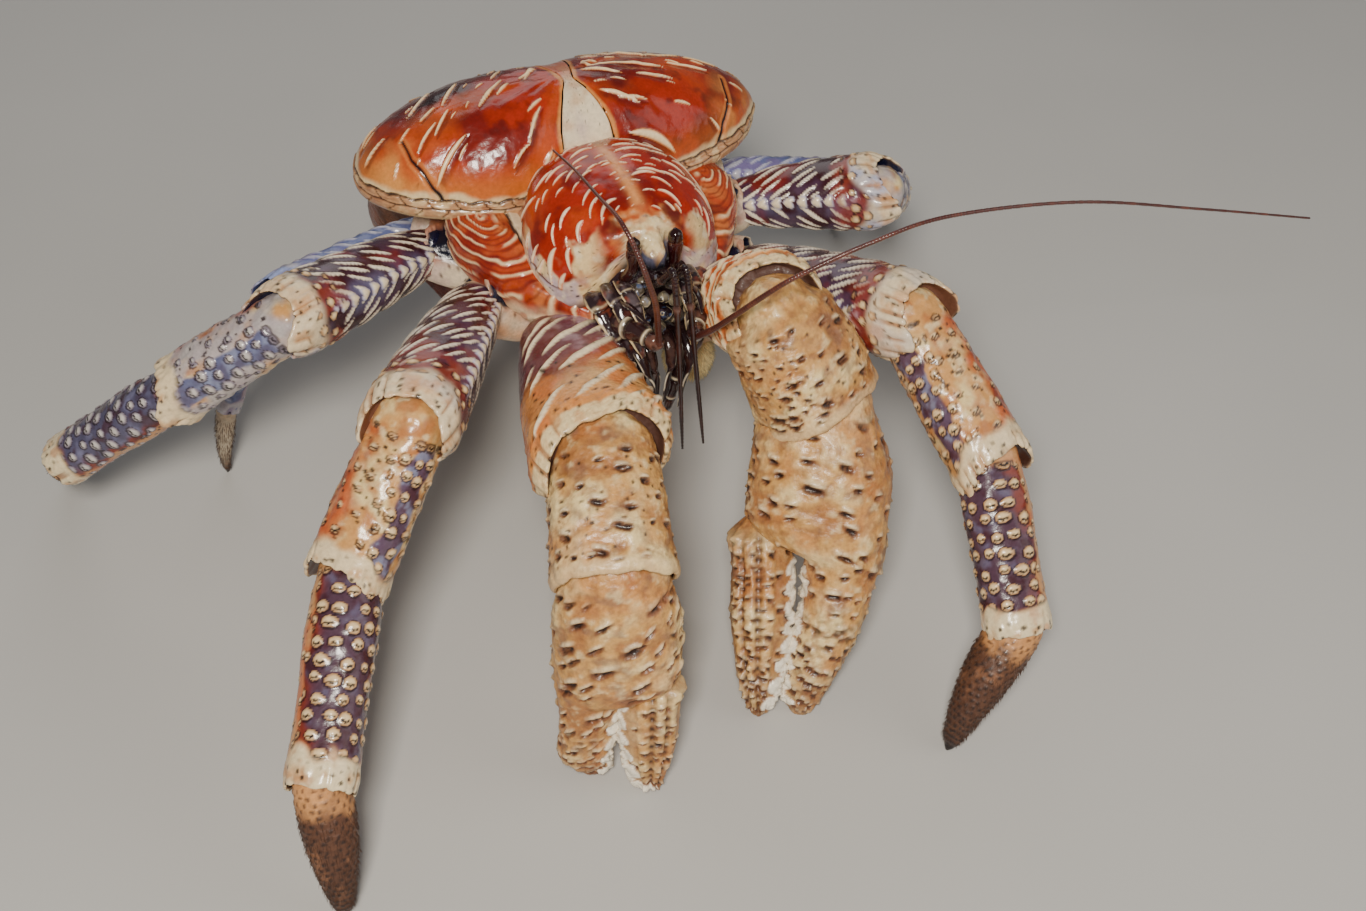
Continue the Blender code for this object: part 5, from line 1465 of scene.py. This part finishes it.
def build_shield():
    """Egg-shaped shield of the head, with its beak between the eyes."""
    rows, cols = fine_grid(300, 380)
    table = np.array(SHIELD_ROWS)[::-1]
    share = np.linspace(0, 1, rows)
    y = SHIELD_BACK - SHIELD_LENGTH * (0.75 * share + 0.25 * (1 - (1 - share) ** 2.2))
    shape = curve(table[:, 0], table[:, 1:], y)
    half, top_z, side_z = shape[:, :1], shape[:, 1:2], shape[:, 2:3]
    angle = np.linspace(0, math.pi, cols)[None]
    c, s = np.cos(angle), np.sin(angle)
    x = np.sign(c) * np.abs(c) ** (2 / 2.2) * half
    z = side_z + s ** (2 / 2.2) * (top_z - side_z)
    floor = np.array([-0.98, -0.7, -0.35, 0.0, 0.35, 0.7, 0.98])
    x = np.hstack([x, half * floor])
    z = np.hstack([z, side_z - SHIELD_EDGE + 0 * floor])
    y = y[:, None] + 0 * x
    sheet = body_sheet(x, y, z)
    p = sheet.points
    wide = np.abs(x)
    top = (np.arange(x.shape[1]) < cols) * np.ones(x.shape)
    height = (z - side_z) / (top_z - side_z)
    sheet.paint((170, 38, 14))
    sheet.mottle((200, 76, 28), 0.012, 3, 0.0, 0.5, 0.6)
    sheet.mottle((118, 18, 10), 0.01, 5, -0.1, 0.35, 0.85)
    sheet.paint((150, 40, 20), smooth(0.55, 0.15, height) * smooth(-0.05, -0.03, y) * 0.6)
    median = bell(x, 0, 0.0026) * between(y, -0.055, -0.05, -0.016, -0.004)
    sheet.mottle((236, 160, 96), 0.006, 4, -0.8, 0.0, median * 0.9)
    # the pale face is low, outside the red that comes down to the eyes
    front = smooth(-0.051, -0.0535, y + 0.0042 * noise(p, 0.006, 6) + 0.0012 * noise(p, 0.002, 7))
    low_face = smooth(0.3, 0.24, height + 0.2 * noise(p, 0.009, 9) + 0.05 * noise(p, 0.003, 19))
    low_face = low_face * smooth(-0.02, -0.032, y)
    pale = np.maximum(front * smooth(0.016, 0.024, wide + 0.002 * noise(p, 0.006, 10)), low_face)
    pale = pale * smooth(0.004, 0.008, wide)
    sheet.paint((238, 204, 146), pale)
    sheet.mottle((192, 170, 186), 0.011, 8, -0.2, 0.3, pale * smooth(0.42, 0.24, height) * 0.85)
    sheet.mottle((192, 118, 74), 0.005, 18, 0.1, 0.45, pale * 0.6)
    sheet.mottle((252, 236, 200), 0.004, 28, 0.1, 0.5, pale * 0.7)
    ragged = 0.0032 * noise(p, 0.003, 3) + 0.0012 * noise(p, 0.0014, 13)
    golden = smooth(-0.05, -0.056, y + 1.4 * ragged) * smooth(0.0165, 0.01, wide + ragged)
    sheet.paint((226, 138, 72), golden * 0.75)
    beak = smooth(-0.054, -0.059, y + ragged) * smooth(0.013, 0.0085, wide + 0.5 * ragged)
    sheet.paint((238, 210, 158), beak)
    sheet.mottle((206, 132, 78), 0.005, 42, -0.1, 0.4, beak * 0.7)
    sheet.mottle((146, 112, 96), 0.003, 43, share=beak * 0.7)
    sheet.mottle((252, 238, 204), 0.0026, 45, 0.1, 0.5, beak * 0.8)
    sheet.rise((beak + pale * 0.5) * 0.001 * rough_noise(p, 0.004, 44))
    # painted shade: blue-grey on the low front of the beak
    sheet.paint((98, 100, 126), beak * smooth(0.62, 0.2, height) * smooth(-0.059, -0.064, y))
    eye_spot = bell(wide, 0.0125, 0.005) * bell(y, -0.056, 0.005)
    sheet.paint((96, 26, 22), smooth(0.3, 0.8, eye_spot + 0.3 * noise(p, 0.003, 21)) * 0.8)
    edge = smooth(0.13, 0.06, height) * smooth(-0.052, -0.047, y)
    sheet.paint((240, 214, 176), edge * top)
    seam = fade(0.01, 0.022, np.abs(height - 0.135 - 0.02 * noise(p, 0.006, 22))) * smooth(-0.056, -0.048, y)
    sheet.paint((70, 24, 20), seam * top * 0.9)
    sheet.rise(-seam * top * 0.0006)
    # crescents bowed toward the face
    middle = y - 0.35 * (0.168 - z)
    gap = np.hypot(x, (middle + 0.06) * 1.05)
    reach = np.arctan2(wide, middle + 0.062) * np.maximum(gap, 0.004) * np.sign(x)
    gap = gap + 0.0008 * noise(p, 0.01, 16)
    arcs = slashes(gap, reach + 0.5, 0.0054, 0.0088, 0.0047, 0.00072, 3, 0.93, 0.22)
    arcs = arcs * smooth(0.0012, 0.0026, wide) * (1 - front) * top * smooth(0.12, 0.18, height)
    sheet.paint((232, 138, 84), smooth(0.0, 0.3, arcs))
    sheet.paint((255, 226, 190), smooth(0.25, 0.75, arcs))
    sheet.rise(arcs * 0.0007 + top * 0.0006 * rough_noise(p, 0.01, 12))
    add_specks(sheet, 0.004, 0.0005, pale * top, 8)
    # painted shade: near black on the underside
    sheet.paint(BLACKISH, (1 - top) * 0.8)
    sheet.gloss(0.22)
    sheet.gloss(0.28, pale)
    sheet.build("cephalic_shield", GLOSSY, "shell", ["cephalic_shield"])


def build_side_plate(side, hand):
    """Side of the shell in front of the dome, ribbed with cream lines."""
    rows, cols = fine_grid(240, 260)
    table = np.array(SIDE_ROWS)[::-1]
    y = np.linspace(SIDE_ROWS[0][0], SIDE_ROWS[-1][0], rows)
    outer, top_z, low = (v[:, None] for v in curve(table[:, 0], table[:, 1:], y).T)
    inner = np.minimum(SIDE_INNER, outer - 0.01)
    cx, cz = ring_points(cols, 3.0)
    x = side * ((outer + inner) / 2 + (outer - inner) / 2 * cx[None] * side)
    z = (top_z + low) / 2 + (top_z - low) / 2 * cz[None]
    y = y[:, None] + 0 * x
    sheet = body_sheet(x, y, z)
    p = sheet.points
    reach = (np.abs(x) - inner) / (outer - inner)
    sheet.paint((184, 66, 30))
    sheet.mottle((214, 122, 62), 0.013, 3, -0.1, 0.4, 0.8)
    sheet.mottle((126, 26, 18), 0.01, 6, share=0.8)
    # cream lines that loop round a place above the hip
    drop = (0.142 - z) * 0.9
    wander = 0.0022 * noise(p, 0.012, 4) + 0.0008 * noise(p, 0.004, 5)
    loop = np.hypot((np.abs(x) + drop - 0.05) * 1.25, (y + 0.004) * 0.8) + wander
    wave = ripple(loop, SIDE_LINE_STEP)
    line = smooth(0.66, 0.94, wave) * smooth(-0.45, -0.15, noise(p, 0.009, 17))
    sheet.paint((96, 18, 18), smooth(0.7, 0.5, wave) * smooth(0.2, 0.42, wave) * 0.55)
    sheet.paint((242, 206, 160), line)
    sheet.rise(line * 0.0007 + 0.0004 * rough_noise(p, 0.008, 6))
    low_part = smooth(0.126, 0.119, z + 0.002 * noise(p, 0.006, 9))
    sheet.paint((236, 206, 166), low_part * 0.85)
    sheet.mottle((176, 84, 60), 0.005, 29, 0.1, 0.4, low_part * 0.6)
    # long pale plate beside the shield, with a dark line outside it
    ragged = 0.03 * noise(p, 0.008, 31)
    strip = smooth(0.3, 0.26, reach + ragged)
    sheet.paint((240, 216, 178), strip)
    ribs = ripple(y + 0.3 * 0.0046 * noise(p, 0.01, 32), 0.0046)
    sheet.mottle((176, 70, 46), 0.01, 33, -0.2, 0.2, strip * smooth(0.6, 0.2, ribs) * 0.5)
    dark = fade(0.015, 0.035, np.abs(reach - 0.28 + ragged))
    sheet.paint((40, 14, 16), dark * 0.95)
    sheet.rise(strip * 0.0003 - dark * 0.0008)
    sheet.gloss(0.26)
    sheet.build(f"side_plate_{hand}", GLOSSY, "shell", [f"side_plate_{hand}"])


def build_trunk():
    """Thorax, which shows between the legs."""
    rows, cols = fine_grid(100, 100)
    table = np.array(TRUNK_ROWS)
    y = np.linspace(TRUNK_ROWS[-1][0], TRUNK_ROWS[0][0], rows)[:, None]
    half, top_z, low = (v[:, None] for v in curve(table[:, 0], table[:, 1:], y[:, 0]).T)
    cx, cz = ring_points(cols, 3.2)
    sheet = body_sheet(half * cx, y, (top_z + low) / 2 + (top_z - low) / 2 * cz)
    sheet.paint(PALE_TAN)
    sheet.mottle((170, 110, 84), 0.014, 3)
    sheet.mottle(BROWN, 0.008, 8, 0.1, 0.4, 0.7)
    front = smooth(-0.044, -0.056, y) * np.ones(cols)
    sheet.paint((44, 24, 30), front)
    sheet.rise(0.0012 * rough_noise(sheet.points, 0.008, 5))
    sheet.gloss(0.3)
    sheet.gloss(0.15, front)
    sheet.build("thorax", SATIN, "pale_shell", ["thorax"])


def build_abdomen():
    """Leathery abdomen curled under, with broad plates that overlap down its back."""
    rows, cols = fine_grid(250, 180)
    table = np.array(ABDOMEN_ROWS)
    last = len(table) - 1
    t = np.linspace(0, last, rows)
    shape = curve(np.arange(last + 1), table, t)
    path = shape[:, :2]
    way = unit(np.gradient(path, axis=0))
    outward = np.column_stack([-way[:, 1], way[:, 0]])
    plate = np.clip((t - 1.0) / TERGITE_ROWS, 0, TERGITES)[:, None]
    share = plate - np.floor(plate)
    on_plate = (plate > 0) & (plate < TERGITES)
    cx, cz = ring_points(cols, 2.4)
    cover = np.clip(cz + 0.55, 0, 1) * TERGITE_RISE * share * fade(0.93, 1.0, share) * on_plate
    x = (shape[:, 2:3] + cover) * cx
    up = shape[:, 3:4] * cz + cover
    y, z = (path[:, i:i + 1] + outward[:, i:i + 1] * up for i in (0, 1))
    turned = -1 if np.cross(way[0], outward[0]) < 0 else 1
    sheet = body_sheet(*(a[:, ::turned] for a in (x, y, z)))
    p = sheet.points
    folds, cracks = crack_lines(sheet, 0.006, 0.14, 27), crack_lines(sheet, 0.01, 0.1, 28)
    sheet.paint((128, 84, 60))
    sheet.mottle((84, 50, 42), 0.012, 3)
    sheet.paint((60, 34, 30), folds * 0.6)
    tergite = smooth(0.0, 0.25, cz[::turned] + 0.35) * on_plate
    sheet.paint((122, 52, 34), tergite)
    sheet.mottle((84, 30, 26), 0.014, 9, -0.1, 0.4, tergite * 0.8)
    sheet.mottle((158, 96, 62), 0.008, 19, 0.0, 0.5, tergite * 0.6)
    edge = smooth(0.8, 0.92, share + 0.05 * noise(p, 0.006, 12)) * tergite
    sheet.paint((198, 146, 102), edge * 0.6)
    sheet.paint(BLACKISH, fade(0.0, 0.03, np.abs(share - 0.965)) * tergite)
    sheet.rise((0.0012 * rough_noise(p, 0.006, 5, 4) - 0.0006 * folds) * (1 - tergite))
    sheet.rise((0.0009 * rough_noise(p, 0.011, 15) - 0.0003 * cracks) * tergite)
    add_specks(sheet, 0.005, 0.0009, tergite, 41)
    sheet.gloss(0.5)
    sheet.gloss(0.3, tergite)
    sheet.build("abdomen", LEATHER, "abdomen", ["abdomen"])
    coat("abdomen_tufts", sheet, 1 - tergite, ABDOMEN_TUFTS, (19, 3, 13), (0.0, 0.0, -0.5), 0.8,
         (0.0016, 0.002), 0.00014, (112, 72, 46), "abdomen")


def ringed(sheet, pitch, depth, dark):
    """Narrow rings round a feeler."""
    phase = (sheet.along / pitch) % 1.0
    groove = between(phase, 0.62, 0.85, 0.92, 1.0)
    sheet.rise(-groove * depth)
    sheet.paint(dark, groove * 0.85)


def add_seams(sheet, places, depth, lip_back, lip_width, lip_share, lip_rise=0.0):
    """Dark rings at the joints, each with a cream lip on its near side."""
    for place in places:
        seam = bell(sheet.mark, place, 0.01)
        lip = bell(sheet.mark, place - lip_back, lip_width)
        sheet.rise(lip * lip_rise - seam * depth)
        sheet.paint(BLACKISH, seam)
        sheet.paint(CREAM, lip * lip_share)


def build_head():
    """Eyes, antennules, antennas with their bases, and maxillipeds."""
    for side, hand in HANDS:
        eye = tube(mirrored(EYE_ROUTE, side), EYE_RADII, 110, 48)
        eye.paint((44, 10, 12))
        eye.mottle((72, 26, 20), 0.004, 3, share=0.5)
        cornea = smooth(0.6, 0.66, eye.mark + 0.03 * np.cos(eye.turn * 2 * math.pi))
        neck = bell(eye.mark, 0.6, 0.02)
        eye.paint((34, 4, 4), cornea)
        eye.rise(-neck * 0.0003)
        eye.paint((110, 60, 40), neck * 0.25)
        eye.gloss(0.1)
        eye.gloss(0.05, cornea)
        eye.build(f"eye_{hand}", WET, "eye", [f"eye_{hand}"])

        antennule = tube(mirrored(ANTENNULE_ROUTE, side, ANTENNULE_LEAN), ANTENNULE_RADII, 260, 20)
        antennule.paint((34, 14, 18))
        antennule.mottle((66, 34, 32), 0.004, 4, share=0.6)
        ringed(antennule, 0.0016, 0.0002, BLACKISH)
        for joint in (0.2, 0.45):
            bulge = bell(antennule.mark, joint, 0.012)
            antennule.rise(bulge * 0.0004)
            antennule.paint((120, 84, 72), bulge * 0.6)
        antennule.gloss(0.18)
        antennule.build(f"antennule_{hand}", WET, "feeler", [f"antennule_{hand}"])

        base = tube(mirrored(BASE_ROUTE, side), BASE_RADII, 130, 72)
        base.paint((48, 26, 26))
        base.mottle((122, 82, 68), 0.005, 3, share=0.7)
        add_seams(base, (0.3, 0.58, 0.8), 0.0007, 0.03, 0.014, 0.85, 0.0004)
        base.rise(0.0003 * rough_noise(base.points, 0.004, 7))
        base.gloss(0.16)
        base.build(f"antenna_base_{hand}", WET, "feeler", [f"antenna_base_{hand}"])

        leg = tube(mirrored(MAXILLIPED_ROUTE, side, MAXILLIPED_LEAN), MAXILLIPED_RADII, 170, 64, 0.7)
        leg.paint((34, 18, 20))
        leg.mottle((78, 46, 40), 0.004, 4, share=0.6)
        blade = fade(0.04, 0.09, leg.gap(180 if side < 0 else 0))
        leg.paint(IVORY, blade * smooth(0.35, 0.45, leg.mark))
        add_seams(leg, (0.34, 0.62, 0.82), 0.0006, 0.028, 0.01, 0.7)
        leg.paint(IVORY, smooth(0.93, 0.98, leg.mark))
        leg.gloss(0.15)
        leg.build(f"maxilliped_{hand}", WET, "feeler", [f"maxilliped_{hand}"])

    for hand, route, rows in (("right", FEELER_RIGHT, 900), ("left", FEELER_LEFT, 1500)):
        feeler = tube(body_points(route), np.linspace(*FEELER_RADII, len(route)), int(rows * FINENESS), 12)
        feeler.paint((82, 34, 26))
        feeler.mottle((118, 60, 44), 0.006, 3, share=0.6)
        ringed(feeler, 0.0013, 0.00016, (48, 18, 16))
        feeler.gloss(0.3)
        feeler.build(f"antenna_{hand}", WET, "feeler", [f"antenna_{hand}"])


def build_mouth(side, hand):
    """Folds, blades and lumps round the mouth, below the eyes."""
    for k, (route, radii) in enumerate(MOUTH_FOLDS):
        fold = tube(mirrored(route, side), radii, 120, 72, 0.6)
        p = fold.points
        fold.paint((44, 28, 32))
        fold.mottle((104, 90, 94), 0.005, k + 3, 0.0, 0.5, 0.8)
        fold.mottle((150, 70, 44), 0.004, k + 13, 0.1, 0.5, 0.6)
        broken = fold.blotches(0.005, k + 53, -0.3, 0.1)
        for bearing in (0, 180):
            lip = fold.gap(bearing) + 0.02 * noise(p, 0.004, 5)
            fold.paint((222, 196, 152), fade(0.02, 0.045, lip) * (0.25 + 0.75 * broken))
            fold.rise(fade(0.0, 0.06, lip) * 0.0006)
        for k_seam, place in enumerate((0.34 + 0.05 * k, 0.68)):
            mark = fold.mark + 0.03 * noise(p, 0.005, k_seam)
            seam = bell(mark, place, 0.014)
            fold.rise(-seam * 0.0007)
            fold.paint(BLACKISH, seam * 0.9)
            fold.mottle((214, 192, 156), 0.003, k + 23, -0.4, 0.1, bell(mark, place - 0.035, 0.012) * 0.7)
        fold.rise(0.0004 * rough_noise(p, 0.003, 8))
        fold.gloss(0.12)
        fold.build(f"mouth_fold_{hand}_{k}", WET, "feeler")
    for k, (centre, radii, tone) in enumerate(MOUTH_LUMPS):
        piece = lump((side * centre[0], centre[1], centre[2]), radii, 0.16, k + 2)
        piece.paint((34, 20, 28))
        piece.mottle((78, 58, 72), 0.003, k + 1, 0.0, 0.5, 0.8)
        # painted highlights: small bluish patches on the dark lumps
        piece.mottle((86, 112, 160), 0.002, k + 21, 0.1, 0.5, 0.6)
        piece.mottle((236, 220, 180), 0.003, k + 31, -0.5, 0.1, tone)
        line = np.abs(noise(piece.points, 0.0032, k + 41))
        piece.paint((222, 200, 160), fade(0.03, 0.08, line) * 0.7)
        piece.rise(fade(0.0, 0.1, line) * 0.0002)
        piece.gloss(0.08)
        piece.build(f"mouth_lump_{hand}_{k}", WET, "feeler")
    for k, (route, radii) in enumerate(MOUTH_BLADES):
        blade = tube(mirrored(route, side), radii, 140, 40, 0.55)
        blade.paint((38, 20, 22))
        blade.mottle((86, 60, 52), 0.004, k + 5, share=0.6)
        for bearing in (0, 180):
            lip = fade(0.03, 0.07, blade.gap(bearing)) * smooth(0.3, 0.5, blade.mark)
            blade.mottle((236, 222, 196), 0.006, k + 57, -0.2, 0.1, lip * 0.9)
        blade.gloss(0.12)
        blade.build(f"mouth_blade_{hand}_{k}", WET, "feeler")


def build_pads():
    """Cream pads of short bristles under the base of the left claw."""
    for k, (centre, radii) in enumerate(PADS):
        pad = lump(centre, radii, 0.12, k + 61)
        pad.paint((226, 196, 142))
        pad.mottle((176, 128, 84), 0.004, k + 3, 0.0, 0.5, 0.6)
        pad.gloss(0.5)
        pad.build(f"claw_pad_{k}", LEATHER, "pale_shell")
        coat(f"claw_pad_bristles_{k}", pad, 1.0, PAD_BRISTLES, (23 + k, k, 13 + k), (0.0, -0.2, -0.5), 0.5,
             (0.0016, 0.0012), 0.00015, (236, 214, 160), "pale_shell")


def floor_material():
    """Pale grey with soft clouds."""
    material = bpy.data.materials.new("pale floor")
    material.use_nodes = True
    tree = material.node_tree
    place = add_node(tree, "TexCoord", "Object")
    cloud = add_node(tree, "TexNoise", "Fac", {"Vector": place, "Scale": 6})
    colour = add_node(tree, "ValToRGB", "Color", {"Fac": cloud})
    for stop, tone in zip(colour.node.color_ramp.elements, FLOOR_TONES):
        stop.color = tone
    feed(tree, tree.nodes["Principled BSDF"], {"Base Color": colour, "Roughness": 0.75})
    return material


def add_stage():
    """Floor under the model, which is no part of it."""
    mesh = bpy.data.meshes.new("floor")
    corners = [(x * FLOOR_HALF, y * FLOOR_HALF, 0) for x, y in ((-1, -1), (1, -1), (1, 1), (-1, 1))]
    mesh.from_pydata(corners, [], [(0, 1, 2, 3)])
    mesh.materials.append(floor_material())
    floor = link(bpy.data.objects.new("floor", mesh))


def add_light(name, place, power, size, colour):
    """Soft square lamp that faces the shell."""
    light = bpy.data.lights.new(name, "AREA")
    light.energy = power
    light.size = size
    light.color = colour
    obj = link(bpy.data.objects.new(name, light))
    obj.location = place
    obj.rotation_euler = Vector(unit(LIGHT_TARGET - place)).to_track_quat("-Z", "Y").to_euler()


def add_camera():
    """Camera of the photograph."""
    data = bpy.data.cameras.new("camera")
    data.lens = LENS_MM
    data.sensor_width = SENSOR_MM
    data.sensor_fit = "HORIZONTAL"
    camera = link(bpy.data.objects.new("camera", data))
    camera.location = tuple(BODY_AT + CAMERA_FROM_BODY)
    camera.rotation_euler = np.radians(CAMERA_TURN)
    bpy.context.scene.camera = camera


for limb_name in LIMBS:
    build_limb(limb_name)
for side, hand in HANDS:
    build_lobe(side, hand)
build_plate()
build_shield()
for side, hand in HANDS:
    build_side_plate(side, hand)
build_trunk()
build_abdomen()
build_head()
for side, hand in HANDS:
    build_mouth(side, hand)
build_pads()
add_stage()
for lamp, settings in LIGHTS.items():
    add_light(lamp, *settings)
world = bpy.data.worlds.new("studio")
world.use_nodes = True
feed(world.node_tree, world.node_tree.nodes["Background"], {"Color": SKY_COLOUR, "Strength": SKY_STRENGTH})
bpy.context.scene.world = world
add_camera()
